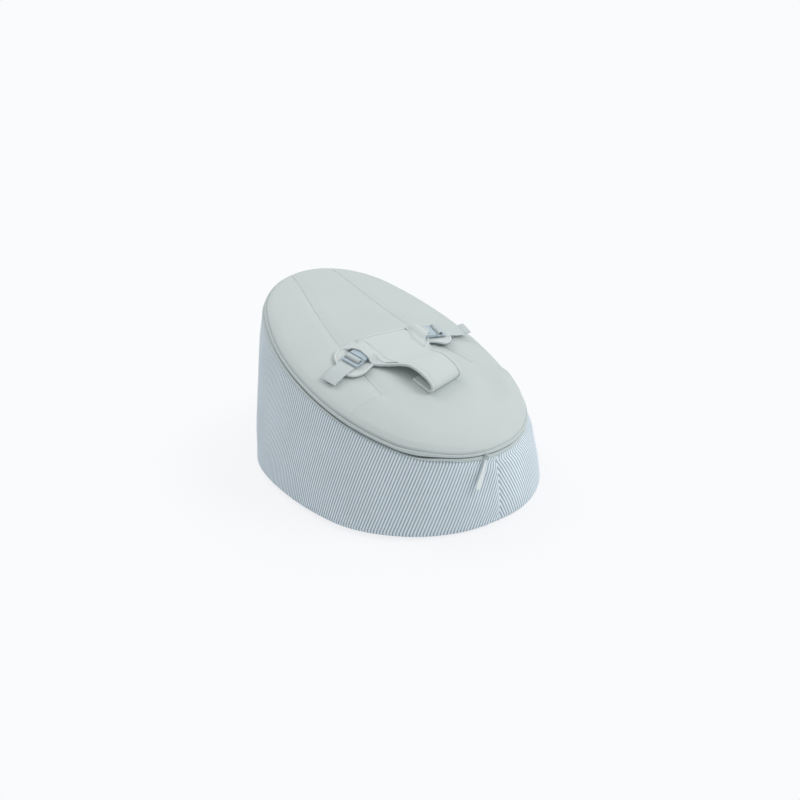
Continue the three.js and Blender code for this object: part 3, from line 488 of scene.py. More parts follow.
def rim_ring(name, section, surface, waviness=0.0):
    wave = waviness * (np.sin(rim_angles * 23) + 0.7 * np.sin(rim_angles * 41 + 1.3))
    points = rim_point(rim_angles[:, None], section[None, :, 0] + wave[:, None], section[None, :, 1])
    return make_piece(name, points, ring_faces(len(rim_angles), len(section), True), surface, sharp=60)


def folded_band(name, node, body, low_up, high_up, belly):
    section = rounded_slab(-band_half, band_half, low_up, high_up, 0.0009)
    mid, half = (low_up + high_up) / 2, (high_up - low_up) / 2
    fine = []
    for (o0, u0), (o1, u1) in zip(section, np.roll(section, -1, 0)):
        steps = max(1, int(round(math.hypot(o1 - o0, u1 - u0) / 0.0011)))
        fine += [(mix(o0, o1, k / steps), mix(u0, u1, k / steps)) for k in range(steps)]
    section = np.array(fine)
    section[:, 0] += np.where(section[:, 0] > 0, belly * (1 - ((section[:, 1] - mid) / half) ** 2), 0)
    piece = rim_ring(name, section, band_surface, waviness=0.00009)
    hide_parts(node)
    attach(piece, body)
    return piece


folded_band("lower_band", "rim_band_lower", "base_bag", -zip_half - band_height, -zip_half, 0.0007)
folded_band("upper_band", "rim_band_upper", "seat_cover", zip_half, zip_half + band_height, 0.0007)


# Stitches of the bands. A lockstitch of pale thread runs along the free edge of each band, and each
# stitch is a short round length of thread that dips into the cloth at both ends.

def row_tree(shape):
    """Lays one shape along a line at even spacing, its x along the line and its z outward."""
    tree = bpy.data.node_groups.new("row_of_" + shape, "GeometryNodeTree")
    face = tree.interface
    face.new_socket("Geometry", in_out="INPUT", socket_type="NodeSocketGeometry")
    face.new_socket("Geometry", in_out="OUTPUT", socket_type="NodeSocketGeometry")
    named = {
        "spacing": face.new_socket("Spacing", in_out="INPUT", socket_type="NodeSocketFloat"),
        "size": face.new_socket("Size", in_out="INPUT", socket_type="NodeSocketVector"),
        "surface": face.new_socket("Surface", in_out="INPUT", socket_type="NodeSocketMaterial"),
    }
    start = wire(tree, "NodeGroupInput")
    line = wire(tree, "GeometryNodeMeshToCurve", {"Mesh": start.outputs["Geometry"]})
    even = wire(tree, "GeometryNodeResampleCurve", {"Curve": line.outputs[0]}, mode="LENGTH")
    tree.links.new(start.outputs["Spacing"], even.inputs["Length"])
    outward = wire(tree, "GeometryNodeInputNamedAttribute", {"Name": "outward"}, data_type="FLOAT_VECTOR")
    along = wire(tree, "GeometryNodeInputTangent")
    turned = wire(tree, "FunctionNodeAxesToRotation",
                  {0: outward.outputs["Attribute"], 1: along.outputs[0]},
                  primary_axis="Z", secondary_axis="X")
    if shape == "stitches":
        unit = wire(tree, "GeometryNodeMeshUVSphere", {"Segments": 6, "Rings": 4, "Radius": 0.5})
    else:
        unit = wire(tree, "GeometryNodeMeshCube")
    placed = wire(tree, "GeometryNodeInstanceOnPoints",
                  {"Points": even.outputs[0], "Instance": unit.outputs[0],
                   "Rotation": turned.outputs[0], "Scale": start.outputs["Size"]})
    real = wire(tree, "GeometryNodeRealizeInstances", {0: placed.outputs[0]})
    done = wire(tree, "GeometryNodeSetMaterial", {"Geometry": real.outputs[0],
                                                  "Material": start.outputs["Surface"]})
    wire(tree, "NodeGroupOutput", {0: done.outputs[0]})
    return tree, {key: socket.identifier for key, socket in named.items()}


row_trees = {shape: row_tree(shape) for shape in ("stitches", "teeth")}


def row_along(name, lines, shape, spacing, size, surface, closed=False):
    """Stitches or teeth along lines, each a pair of (points, outward directions)."""
    points, outs, edges = [], [], []
    for line, out in lines:
        first = sum(len(p) for p in points)
        points.append(np.asarray(line, float))
        outs.append(np.broadcast_to(out, np.shape(line)).astype(float))
        last = first + len(line)
        edges += [(i, i + 1) for i in range(first, last - 1)] + ([(last - 1, first)] if closed else [])
    mesh = bpy.data.meshes.new(name)
    mesh.from_pydata(np.vstack(points).tolist(), edges, [])
    mesh.attributes.new("outward", "FLOAT_VECTOR", "POINT").data.foreach_set(
        "vector", np.vstack(outs).astype(np.float32).ravel())
    piece = bpy.data.objects.new(name, mesh)
    bpy.context.scene.collection.objects.link(piece)
    tree, sockets = row_trees[shape]
    rows = piece.modifiers.new("rows", "NODES")
    rows.node_group = tree
    rows[sockets["spacing"]] = spacing
    rows[sockets["size"]] = size
    rows[sockets["surface"]] = surface
    baked(piece)
    piece.data.shade_smooth()
    piece.data.set_sharp_from_angle(angle=math.radians(50))
    return piece


def sewing_thread():
    surface, tree, shader = new_surface("sewing_thread", 0.55, sheen=0.1)
    place = wire(tree, "ShaderNodeTexCoord")
    twist = noise(tree, place, 2600.0, 1.0)
    colour = toned(tree, twist, from_srgb(190, 202, 202), from_srgb(216, 224, 223))
    finished(tree, shader, colour.outputs[2], twist, 0.4, 0.0002)
    return surface


thread_surface = sewing_thread()
stitch_size = (0.0026, 0.0007, 0.0005)
rim_out = rim_point(rim_angles, 0.001, 0.0) - rim_point(rim_angles, 0.0, 0.0)
rim_out /= np.linalg.norm(rim_out, axis=1)[:, None]
stitch_up = zip_half + 0.0013
for ending, body, up in (("lower", "base_bag", -stitch_up), ("upper", "seat_cover", stitch_up)):
    line = rim_point(rim_angles, band_half + 0.00045, up)
    stitches = row_along(f"band_stitches_{ending}", [(line, rim_out)], "stitches", 0.0034, stitch_size,
                         thread_surface, closed=True)
    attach(stitches, body)


# Zip. Two woven tapes stand back from the bands, and each carries a row of small moulded teeth that
# mesh with the other row all round the rim.

tooth_out, tooth_pitch = -0.0042, 0.0021
tooth_size = (0.0012, 0.00125, 0.0014)


def moulded_plastic(name, tone, shade, roughness=0.36):
    """Satin moulded plastic with a faint texture and rubbed spots."""
    surface, tree, shader = new_surface(name, roughness)
    place = wire(tree, "ShaderNodeTexCoord")
    cloud = noise(tree, place, 60.0, 3.0)
    gloss = ranged(tree, cloud, 0.35, 0.7, roughness - 0.06, roughness + 0.1)
    tree.links.new(gloss.outputs[0], shader.inputs["Roughness"])
    finished(tree, shader, toned(tree, cloud, shade, tone).outputs[2], noise(tree, place, 2400.0, 1.0),
             0.08, 0.0001)
    return surface


tape_surface = plain_weave("zip_tape_weave", from_srgb(178, 188, 188), from_srgb(150, 160, 161), 0.0006, 0.4)
zip_surface = moulded_plastic("zip_plastic_finish", from_srgb(196, 205, 206), from_srgb(176, 187, 189))
for ending, body, sense in (("lower", "base_bag", -1), ("upper", "seat_cover", 1)):
    dress(f"zip_tape_{ending}", tape_surface)
    line = rim_point(rim_angles, tooth_out, sense * 0.0008)
    teeth = row_along(f"zip_row_{ending}", [(line, rim_out)], "teeth", tooth_pitch, tooth_size, zip_surface,
                      closed=True)
    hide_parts(f"zip_teeth_{ending}")
    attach(teeth, body)


# Inner sack. A plain cotton sack under the seat cover holds the foam beads. It fills the bag, its top
# follows the seat, and a long zipped mouth in its top takes the beads.

crown, panel_inset, panel_thickness = 0.028, 0.0014, 0.005
band_top = (zip_half + band_height) * math.cos(rim_lean) + band_half * math.sin(rim_lean)


def seat_height(x, s):
    """Height of the seat off the rim's plane, without its seams."""
    inside = np.maximum(rim_oval.inside(x, s) - panel_inset, 0)
    far = np.maximum(1 - inside / (rim_half_width - panel_inset), 0)
    return rise(s) + band_top + crown * np.maximum(1 - far * far, 0) ** 0.6


def wall_outer(angle, share, depth):
    top = rim_point(angle, band_half - depth, -zip_half - band_height)
    x, y = base_oval.at(angle, -depth)
    bulge = wall_bulge * math.sin(math.pi * share)
    return (mix(top, stack(x, y + base_centre_y, foot_height), share)
            + bulge * stack(np.cos(angle), np.sin(angle), 0))


def sack_level(angle, level):
    """One level of the sack, from its floor at 0 round its side to the edge of the mouth at 1."""
    depth, under = 0.0046, panel_thickness + 0.0012
    inset_edge = 0.016
    if level < 0.1:
        x, y = base_oval.at(angle, -foot_inset - depth - 0.05 * (1 - level / 0.1))
        return stack(x, y + base_centre_y, 0.0037)
    if level < 0.55:
        share = 1 - (level - 0.1) / 0.45
        return wall_outer(angle, share * 0.97 + 0.03, depth)
    if level < 0.62:
        return rim_point(angle, -0.0086, mix(-band_height, 0.001, (level - 0.55) / 0.07))
    share = (level - 0.62) / 0.38
    x, s = rim_oval.at(angle, -inset_edge)
    slit_x, slit_s = 0.0042 * np.cos(angle), 0.0735 * np.sin(angle)
    x, s = mix(x, slit_x, share), mix(s, slit_s, share)
    return on_slope(x, s, seat_height(x, s) - under)


sack_angles = np.linspace(-math.pi / 2, 1.5 * math.pi, 180, endpoint=False)
sack_levels = np.concatenate([np.linspace(0, 0.09, 4), np.linspace(0.1, 0.549, 24), [0.55, 0.585, 0.619],
                              np.linspace(0.62, 1, 30)])
sack_points = np.array([sack_level(sack_angles, level) for level in sack_levels])
sack_middle = np.array([0, 0, 0.1])
crumple = slack(sack_angles[None, :] * 0.24, sack_levels[:, None] * 0.5, 1.1)
crumple = (0.0007 * (crumple - 1.4) * smooth(sack_levels / 0.1)[:, None]
           * smooth((1 - sack_levels) / 0.03)[:, None])
inward = sack_points - sack_middle
inward /= np.linalg.norm(inward, axis=-1)[..., None]
sack_points = sack_points + inward * np.minimum(crumple, 0)[..., None]
cotton = plain_weave("sack_cotton", from_srgb(236, 236, 230), from_srgb(220, 221, 214), 0.0007, 0.35,
                     roughness=0.9)
sack = make_piece("inner_sack", sack_points, ring_faces(len(sack_levels), len(sack_angles), False), cotton)
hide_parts("inner_liner", "bead_fill")
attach(sack, "base_bag")
mouth_tape = plain_weave("mouth_zip_tape", from_srgb(226, 227, 221), from_srgb(206, 208, 203), 0.0006, 0.4)
dress("liner_zip", mouth_tape)
mouth_s = np.linspace(-0.070, 0.070, 120)
mouth_line = on_slope(0.0, mouth_s, seat_height(0.0, mouth_s) - panel_thickness - 0.0008)
mouth_up = on_slope(0, 0, 1) - on_slope(0, 0, 0)
mouth_tooth = (0.0012, 0.0034, 0.0008)
mouth_teeth = row_along("sack_mouth_teeth", [(mouth_line, mouth_up)], "teeth", 0.002, mouth_tooth, zip_surface)
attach(mouth_teeth, "base_bag")


# Seat cover panels. Four padded panels of the coated cloth are joined by seams that draw the surface
# in: two long seams from the head end, and one across the front where the crotch strap is sewn in.
# Their outer edge is sewn to the upper band.

edge_thickness, edge_width, panel_edge, settle_width = 0.0025, 0.020, 0.0027, 0.070
valley_depth, valley_width = 0.0030, 0.013
groove_depth, groove_width = 0.0014, 0.0009
edge_roll, edge_roll_width = 0.0034, 0.0010
seam_half_head, seam_half_foot, seam_flare = 0.0475, 0.1115, 1.2
seam_drift, seam_bow = 0.006, 0.016
cross_seam_s, cross_slant, cross_lap = -0.1015, 0.043, 0.0007
edge_swell, front_swell = 0.0014, 0.0105
half_gap = 0.00006
seat_end_radius = rim_oval.end_radius - panel_edge
seat_side_radius = rim_oval.side_radius - panel_edge


def head_line(x):
    """The seat's head edge at one place across."""
    return rim_oval.end_centre + np.sqrt(seat_end_radius ** 2 - np.square(x))


seam_head_s = float(head_line(seam_half_head))


def seam_at(s, side):
    """A long seam's place across. The pair flares toward the front and bows a little to one side."""
    share = np.clip((seam_head_s - s) / (seam_head_s - cross_seam_s), 0, 1)
    return (seam_drift - seam_bow * np.sin(math.pi * share)
            + side * mix(seam_half_head, seam_half_foot, share ** seam_flare))


def cross_at(x):
    return cross_seam_s + cross_slant * x


def hung_low(x, s, inside):
    """How far the seat hangs down with its edge, less and less toward the middle."""
    return seat_settle(rim_oval.facing(x, s)) * (1 - smooth(inside / settle_width))


def panel_top(x, s):
    """The padded surface: drawn in along the seams, lightly puckered there, and full toward the rim."""
    past = np.maximum(cross_at(x) - s, 0)
    to_long = np.min([np.hypot(x - seam_at(s, side), past) for side in (-1, 1)], axis=0)
    to_cross = np.abs(s - cross_at(x))
    inside = rim_oval.inside(x, s) - panel_edge
    fade = smooth(inside / edge_width)
    valley = valley_depth * np.exp(-(to_long / valley_width) ** 2) * fade
    worn = mix(1.0, 0.7, smooth((seam_head_s - s) / 0.35)) * mix(1.0, 1.25, x > 0)
    groove = groove_depth * worn * np.exp(-(to_long / groove_width) ** 2)
    lap = cross_lap * (s < cross_at(x)) * np.exp(-(to_cross / 0.014) ** 2) * fade
    pucker = 0.00022 * np.sin(s / 0.0021 + 1.5 * np.sin(s / 0.011)) * np.exp(-(to_long / 0.008) ** 2) * fade
    loose = 0.0007 * slack(x * 0.55 + s * 0.3, s * 0.5 - x * 0.25, 2.3) * fade
    roll = edge_roll * np.exp(-(np.maximum(inside, 0) / edge_roll_width) ** 1.4)
    full = smooth(inside / 0.013) * (1 - smooth((inside - 0.022) / 0.055))
    to_right = mix(0.1, 1.0, smooth(x / 0.10 + 0.4))
    front = smooth((-0.112 - s) / 0.045) * smooth((s + 0.275) / 0.075) * to_right
    swell = full * (edge_swell + front_swell * front)
    low = hung_low(x, s, inside)
    return on_slope(x, s, seat_height(x, s) + swell - valley - groove - roll + lap + pucker + loose - low)


def panel_under(x, s):
    inside = rim_oval.inside(x, s) - panel_edge
    thickness = mix(edge_thickness, panel_thickness - 0.002, smooth(inside / edge_width))
    return on_slope(x, s, seat_height(x, s) - hung_low(x, s, inside) - 0.0022 - thickness)


def closed_panel(top, under):
    """A closed solid between an upper and an under grid of the same rows and columns."""
    rows, columns = top.shape[:2]
    points = np.concatenate([top.reshape(-1, 3), under.reshape(-1, 3)])
    index = np.arange(rows * columns).reshape(rows, columns)
    edge = np.concatenate([index[0, :], index[1:, -1], index[-1, -2::-1], index[-2:0:-1, 0]])
    ahead = np.roll(edge, -1)
    low = rows * columns
    rim = np.stack([edge, edge + low, ahead + low, ahead], -1)
    faces = np.concatenate([grid_faces(rows, columns), grid_faces(rows, columns)[:, ::-1] + low, rim])
    return points, faces


def near_edges(count, closeness=2.2):
    """Shares from 0 to 1, closer together near both ends."""
    t = np.linspace(-1, 1, count)
    return (1 + np.sign(t) * (1 - (1 - np.abs(t)) ** closeness)) / 2


def add_seat_panel(name, x, s):
    points, faces = closed_panel(panel_top(x, s), panel_under(x, s))
    piece = make_piece(name, points, faces, seat_surface, sharp=50)
    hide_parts(name.replace("seat_pad", "top_panel"))
    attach(piece, "seat_cover")
    return piece


def cross_edge_angle(side, gap):
    """The direction in which the cross seam meets the seat's edge on one side."""
    x = side * 0.19
    return math.asin((cross_at(x) + gap) / seat_side_radius)


def edge_place(angle, side):
    x, s = rim_oval.at(angle, -panel_edge)
    return side * x, s


for ending, side in (("left", -1), ("right", 1)):
    seam_head_x = seam_at(seam_head_s, side) + side * half_gap
    rows = mix(cross_edge_angle(side, half_gap), math.acos(abs(seam_head_x) / seat_end_radius),
               near_edges(150, 1.6))
    edge_x, edge_s = edge_place(rows, side)
    foot_x = seam_at(cross_seam_s, side) + side * half_gap
    seam_s = edge_s + (cross_at(foot_x) + half_gap - edge_s[0]) * (1 - near_edges(150, 1.6)) ** 3
    seam_x = seam_at(seam_s, side) + side * half_gap
    seam_x[-1], seam_s[-1] = edge_x[-1], edge_s[-1]
    across = near_edges(64)[None, :]
    add_seat_panel(f"seat_pad_{ending}", mix(seam_x[:, None], edge_x[:, None], across),
                   mix(seam_s[:, None], edge_s[:, None], across))

centre_across, centre_rows = near_edges(72)[None, :], near_edges(130, 1.8)[:, None]
foot_x = mix(seam_at(cross_seam_s, -1) + half_gap, seam_at(cross_seam_s, 1) - half_gap, centre_across)
head_x = mix(seam_at(seam_head_s, -1) + half_gap, seam_at(seam_head_s, 1) - half_gap, centre_across)
centre_s = mix(cross_at(foot_x) + half_gap, head_line(head_x), centre_rows)
centre_x = mix(seam_at(centre_s, -1) + half_gap, seam_at(centre_s, 1) - half_gap, centre_across)
add_seat_panel("seat_pad_centre", centre_x, centre_s)

front_share = 1 - (1 - np.linspace(0, 1, 90)) ** 1.5
left_edge, right_edge = [edge_place(mix(cross_edge_angle(side, -half_gap), -math.pi / 2, front_share), side)
                         for side in (-1, 1)]
front_across = near_edges(110)[None, :]
add_seat_panel("seat_pad_front", mix(left_edge[0][:, None], right_edge[0][:, None], front_across),
               mix(left_edge[1][:, None], right_edge[1][:, None], front_across))


# Harness pad. A padded T of the coated cloth lies over the seat. Its stem rises off the seat as the
# crotch strap, and a narrow folded binding runs along its edges.

harness_x, harness_s, harness_turn = -0.002, -0.011, math.radians(3.6)
arm_half, strap_half = 0.0615, 0.0385
arm_head_w, pad_end_w, head_slope = 0.0425, -0.112, 0.13
flares = {"left": {"start": -0.073, "length": 0.0525, "power": 1.35, "corner_w": -0.0205},
          "right": {"start": -0.068, "length": 0.0645, "power": 1.75, "corner_w": -0.0035}}
flare_reach, corner_half = 0.0375, 0.0755
pad_thickness, pad_edge, pad_lift = 0.006, 0.0011, 0.0015
arch_start_w, arch_length, arch_rise, arch_top_w = -0.018, 0.072, 0.0204, -0.090
hoop_reach, hoop_front_lift, hoop_power = 0.0405, 0.0105, 0.85
hoop_skew, low_reach = 0.16, 0.0085


def harness_point(u, w, lift):
    """From the harness's directions (u across, w toward the head) and a lift off the seat."""
    x = harness_x + u * math.cos(harness_turn) - w * math.sin(harness_turn)
    s = harness_s + u * math.sin(harness_turn) + w * math.cos(harness_turn)
    return on_slope(x, s, seat_height(x, s) + lift)


def arch_mid(w):
    """Lift of the pad's middle layer: on the seat, up along the strap, and down toward its fold."""
    up = pad_lift + pad_thickness / 2 + arch_rise * smooth((arch_start_w - w) / arch_length)
    share = np.clip((arch_top_w - w) / hoop_reach, 0, 1) ** (2 / hoop_power)
    top = pad_lift + pad_thickness / 2 + arch_rise
    down = hoop_front_lift + (top - hoop_front_lift) * (1 - share) ** (hoop_power / 2)
    return np.where(w > arch_top_w, up, down)


def skewed(u, w):
    """The strap is pulled aslant, so its right edge folds sooner than its left one."""
    return w + hoop_skew * u * smooth((-0.055 - w) / 0.045)


def pad_half(w, ending):
    """Half width of the T: the strap flares out in a slanting line to the arms."""
    kind = flares[ending]
    flare = flare_reach * np.clip((w - kind["start"]) / kind["length"], 0, 1) ** kind["power"]
    body = mix(corner_half, arm_half, smooth((w - kind["corner_w"]) / 0.008))
    return np.minimum(strap_half + flare, body)


def head_edge(u):
    """The T's head edge slopes down toward the right arm."""
    return arm_head_w - head_slope * u


def pad_profile(from_edge, thick):
    """Half thickness of a pad at a distance from its edge, thin beside the binding and full inside."""
    return mix(pad_edge, thick / 2, smooth(from_edge / 0.0085)) + thick * 0.1 * smooth(from_edge / 0.03)


pad_across = 2 * near_edges(70, 1.9) - 1
pad_rows = np.concatenate([np.linspace(0, 0.06, 10)[:-1], np.linspace(0.06, 1, 120)])
row_w = mix(arm_head_w, pad_end_w, pad_rows)
pad_widths = np.where(pad_across[None, :] < 0,
                      pad_half(row_w, "left")[:, None], pad_half(row_w, "right")[:, None])
pad_u = pad_across * pad_widths
pad_w = row_w[:, None] - head_slope * pad_u * (1 - smooth(pad_rows / 0.3))[:, None]
pad_off = pad_profile(np.minimum((1 - np.abs(pad_across)) * pad_widths, (arm_head_w - row_w)[:, None]),
                      pad_thickness)
pad_wave = 0.0004 * slack(pad_u * 0.8, pad_w * 0.8, 0.4)
pad_mid = arch_mid(row_w)[:, None]
pad_w = skewed(pad_u, pad_w)
pad_slope = np.gradient(arch_mid(row_w), row_w)[:, None]
pad_lean, pad_stand = -pad_slope / np.hypot(pad_slope, 1), 1 / np.hypot(pad_slope, 1)
pad_top, pad_low = pad_off + pad_wave, -pad_off
pad_points, pad_faces = closed_panel(
    harness_point(pad_u, pad_w + pad_top * pad_lean, pad_mid + pad_top * pad_stand),
    harness_point(pad_u, pad_w + pad_low * pad_lean, pad_mid + pad_low * pad_stand))
harness_surface = coated_cloth("coated_harness_cloth", from_srgb(211, 218, 216), from_srgb(207, 215, 213))
pad_piece = make_piece("harness_body", pad_points, pad_faces, harness_surface)
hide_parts("harness_pad")
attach(pad_piece, "harness")


# Crotch strap. The stem of the T goes on forward, turns back in a round fold and lies on the seat as
# far as the cross seam, where it is sewn in.

strap_across = 2 * near_edges(48, 1.9) - 1
hoop_turn = np.sin(np.linspace(1.1, math.pi / 2, 22))
top_rows = np.concatenate([np.linspace(pad_end_w, -0.126, 16)[:-1],
                           arch_top_w - hoop_reach * hoop_turn ** hoop_power])
under_turn = np.linspace(0, math.pi / 2, 16)[1:]


def strap_path(u):
    """Middle line of the strap at one place across: over the top, round the fold and back below."""
    end_s = cross_at(u) - 0.0003
    end_w = (end_s - harness_s - u * math.sin(harness_turn)) / math.cos(harness_turn)
    top = np.stack([skewed(u, top_rows), arch_mid(top_rows)], -1)
    front_w, front_lift = top[-1]
    low_lift = pad_thickness / 2 + 0.0003
    under = np.stack([front_w + low_reach * (1 - np.cos(under_turn)),
                      mix(front_lift, low_lift, np.sin(under_turn))], -1)
    lower = np.stack([np.linspace(under[-1, 0], end_w, 22)[1:], np.full(21, low_lift)], -1)
    return np.vstack([top, under, lower])


def path_normals(path):
    """Unit directions off the outer face of the strap along its path."""
    ahead = np.gradient(path, axis=0)
    ahead /= np.linalg.norm(ahead, axis=-1)[..., None]
    return np.stack([ahead[..., 1], -ahead[..., 0]], -1)


paths = np.stack([strap_path(a * strap_half) for a in strap_across], 1)
strap_from_edge = (1 - np.abs(strap_across[None, :])) * strap_half
run_off = pad_profile(strap_from_edge, pad_thickness)[..., None] * path_normals(paths)
strap_u = np.broadcast_to(strap_across[None, :] * strap_half, paths.shape[:2])
outer_path, inner_path = paths + run_off, paths - run_off
for layer in (outer_path, inner_path):
    layer[..., 1] = np.maximum(layer[..., 1], 0.0003)
strap_points, strap_faces = closed_panel(harness_point(strap_u, outer_path[..., 0], outer_path[..., 1]),
                                         harness_point(strap_u, inner_path[..., 0], inner_path[..., 1]))
strap_piece = make_piece("crotch_strap", strap_points, strap_faces, harness_surface)
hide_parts("crotch_strap_base", "crotch_strap_fold")
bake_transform(strap_piece)


# Tongues under the buckles. At the end of each arm a round padded tongue keeps the buckle off the
# child's legs. It is made like the pad and lies on the seat, free at its outer end.

lobe_u, lobe_w, lobe_reach = 0.095, 0.006, 0.035
tongue_low, tongue_high, tongue_start = 0.0019, 0.0049, -0.0320
tongues = {"left": {"round": 0.0005, "reach": 0.0335, "centre": 0.0005, "half": 0.0365, "power": 3.2,
                    "foot_rise": 0.0145, "head_rise": 0.0060, "slant": 0.25, "curl": 0.0015},
           "right": {"round": -0.0030, "reach": 0.0290, "centre": -0.0070, "half": 0.0325, "power": 2.6,
                     "foot_rise": 0.020, "head_rise": 0.0030, "slant": 0.0, "curl": 0.0045}}


def unit(vector):
    return vector / np.linalg.norm(vector)


def lobe_frame(side):
    """Origin and axes at the end of an arm: outward, toward the head, off the seat."""
    origin = harness_point(side * lobe_u, lobe_w, 0.0)
    out = unit(harness_point(side * (lobe_u + lobe_reach), lobe_w, 0.0)
               - harness_point(side * (lobe_u - lobe_reach), lobe_w, 0.0))
    rough = unit(harness_point(side * lobe_u, lobe_w + lobe_reach, 0.0)
                 - harness_point(side * lobe_u, lobe_w - lobe_reach, 0.0))
    up = unit(np.cross(out, rough)) * side
    return origin, np.array([out, np.cross(up, out) * side, up])


def in_frame(frame_pair, a, b, h):
    origin, axes = frame_pair
    return origin + stack(a, b, h) @ axes


lobe_frames = {"left": lobe_frame(-1), "right": lobe_frame(1)}


def tongue_edges(ending, along):
    """Foot and head edges of a tongue, for shares along it: straight to its round end, then round."""
    kind = tongues[ending]
    turn = np.clip((along - 0.3) / 0.7, 0, 1) * math.pi / 2
    inner = np.clip(1 - along / 0.3, 0, 1)
    a = (kind["round"] + kind["reach"] * np.sin(turn) ** (2 / kind["power"])
         + (tongue_start - kind["round"]) * inner)
    half = kind["half"] * np.maximum(np.cos(turn), 0) ** (2 / kind["power"])
    foot = kind["centre"] - half + kind["foot_rise"] * inner
    return a, foot, kind["centre"] + half + kind["head_rise"] * inner


def slanted(ending, a, b):
    """The round end of a tongue leans toward its foot side."""
    return a - tongues[ending]["slant"] * b * smooth((a - tongue_start) / 0.035)


def tongue_lift(ending, b):
    """Each tongue's foot side curls up off the seat, clear of the strap that passes under it."""
    return tongues[ending]["curl"] * smooth((-0.013 - b) / 0.018)


def add_tongue(ending):
    toward_end = 1 - (1 - np.linspace(0, 1, 34)) ** 1.3
    along = np.concatenate([np.linspace(0, 0.3, 10)[:-1], mix(0.3, 1.0, toward_end)])
    a, foot, head = tongue_edges(ending, along)
    across = near_edges(34)[None, :]
    b = mix(foot[:, None], head[:, None], across)
    to_end = (tongues[ending]["round"] + tongues[ending]["reach"] - a)[:, None]
    edge_near = np.min([b - foot[:, None], head[:, None] - b, to_end + 0 * b], axis=0)
    full = smooth(edge_near / 0.0065)
    middle, half = (tongue_low + tongue_high) / 2 + tongue_lift(ending, b), (tongue_high - tongue_low) / 2
    a = slanted(ending, np.broadcast_to(a[:, None], b.shape), b)
    lobe = lobe_frames[ending]
    points, faces = closed_panel(in_frame(lobe, a, b, middle + half * mix(0.4, 1, full)),
                                 in_frame(lobe, a, b, middle - half * mix(0.4, 1, full)))
    piece = make_piece(f"tongue_{ending}", points, faces, harness_surface)
    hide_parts(f"buckle_guard_{ending}")
    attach(piece, "harness")


add_tongue("left")
add_tongue("right")


# Bindings of the harness. A strip of the same cloth is folded over each raw edge and sewn down, and
# shows as a narrow ridge, painted a little paler than the pad as a painted highlight. One strip runs
# round the left tongue, along the head edge and round the right tongue, and one runs down each side of
# the strap and round its fold.

binding_half_width, binding_half_height, binding_raise = 0.0026, 0.0029, 0.0004


def swept(line, up, half_width, half_height, closed=False, around=12):
    """A flattened round bar along a line, its height along the up directions."""
    line = np.asarray(line, float)
    ahead = np.roll(line, -1, 0) - np.roll(line, 1, 0) if closed else np.gradient(line, axis=0)
    ahead /= np.linalg.norm(ahead, axis=1)[:, None]
    side = np.cross(ahead, up)
    side /= np.linalg.norm(side, axis=1)[:, None]
    level = np.cross(side, ahead)
    turn = np.arange(around) * 2 * math.pi / around
    wide = np.sign(np.cos(turn)) * np.abs(np.cos(turn)) ** 0.6 * half_width
    high = np.sign(np.sin(turn)) * np.abs(np.sin(turn)) ** 0.6 * np.reshape(half_height, (-1, 1))
    points = line[:, None] + side[:, None] * wide[None, :, None] + level[:, None] * high[..., None]
    return points.reshape(-1, 3), ring_faces(len(line), around, closed)


def evened(line, spacing=0.0018, passes=3):
    """The same line with even steps and its corners eased."""
    line = np.asarray(line, float)
    run = np.concatenate([[0], np.cumsum(np.linalg.norm(np.diff(line, axis=0), axis=1))])
    even = np.linspace(0, run[-1], int(run[-1] / spacing))
    line = np.stack([np.interp(even, run, line[:, k]) for k in range(line.shape[1])], -1)
    for _ in range(passes):
        line[1:-1] = (line[:-2] + 2 * line[1:-1] + line[2:]) / 4
    return line


# Painted highlight: the binding strip is the pad's cloth painted a little paler, for the light its ridge catches.
binding_painted_highlight_surface = coated_cloth("coated_binding_cloth_painted_highlight", from_srgb(214, 221, 220), from_srgb(208, 216, 215))


def seat_up(u, w):
    up = harness_point(u, w, 0.02) - harness_point(u, w, 0.0)
    return up / np.linalg.norm(up, axis=-1)[..., None]


def add_binding(name, line, up, height, replaced=(), body="harness"):
    both = evened(np.hstack([line, up, np.reshape(np.broadcast_to(height, len(line)), (-1, 1))]))
    points, faces = swept(both[:, :3], both[:, 3:6], binding_half_width, both[:, 6], around=16)
    piece = make_piece(name, points, faces, binding_painted_highlight_surface)
    if replaced:
        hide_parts(*replaced)
    if body == "fold":
        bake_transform(piece)
    else:
        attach(piece, body)
    return piece


edge_out = 0.0006
round_trip = np.linspace(1, 0, 60) ** 1.3
tongue_mid = (tongue_low + tongue_high) / 2


def tongue_outline(ending):
    """The tongue's bound edge, from its inner foot corner round the end to its inner head corner."""
    kind, lobe = tongues[ending], lobe_frames[ending]
    a, foot, head = tongue_edges(ending, 1 - round_trip)
    a_line, b_line = np.append(a, a[-2::-1]), np.append(foot, head[-2::-1])
    push = np.stack([np.gradient(b_line), -np.gradient(a_line)], -1)
    push /= np.linalg.norm(push, axis=1)[:, None]
    inside = np.array([kind["round"], kind["centre"]])
    away = np.sign(np.sum(push * (np.stack([a_line, b_line], -1) - inside), axis=1))[:, None]
    a_line, b_line = (np.stack([a_line, b_line], -1) + push * away * edge_out).T
    lift = tongue_mid + tongue_lift(ending, b_line)
    a_line = slanted(ending, a_line, b_line)
    return in_frame(lobe, a_line, b_line, lift), np.broadcast_to(lobe[1][2], (len(a_line), 3))


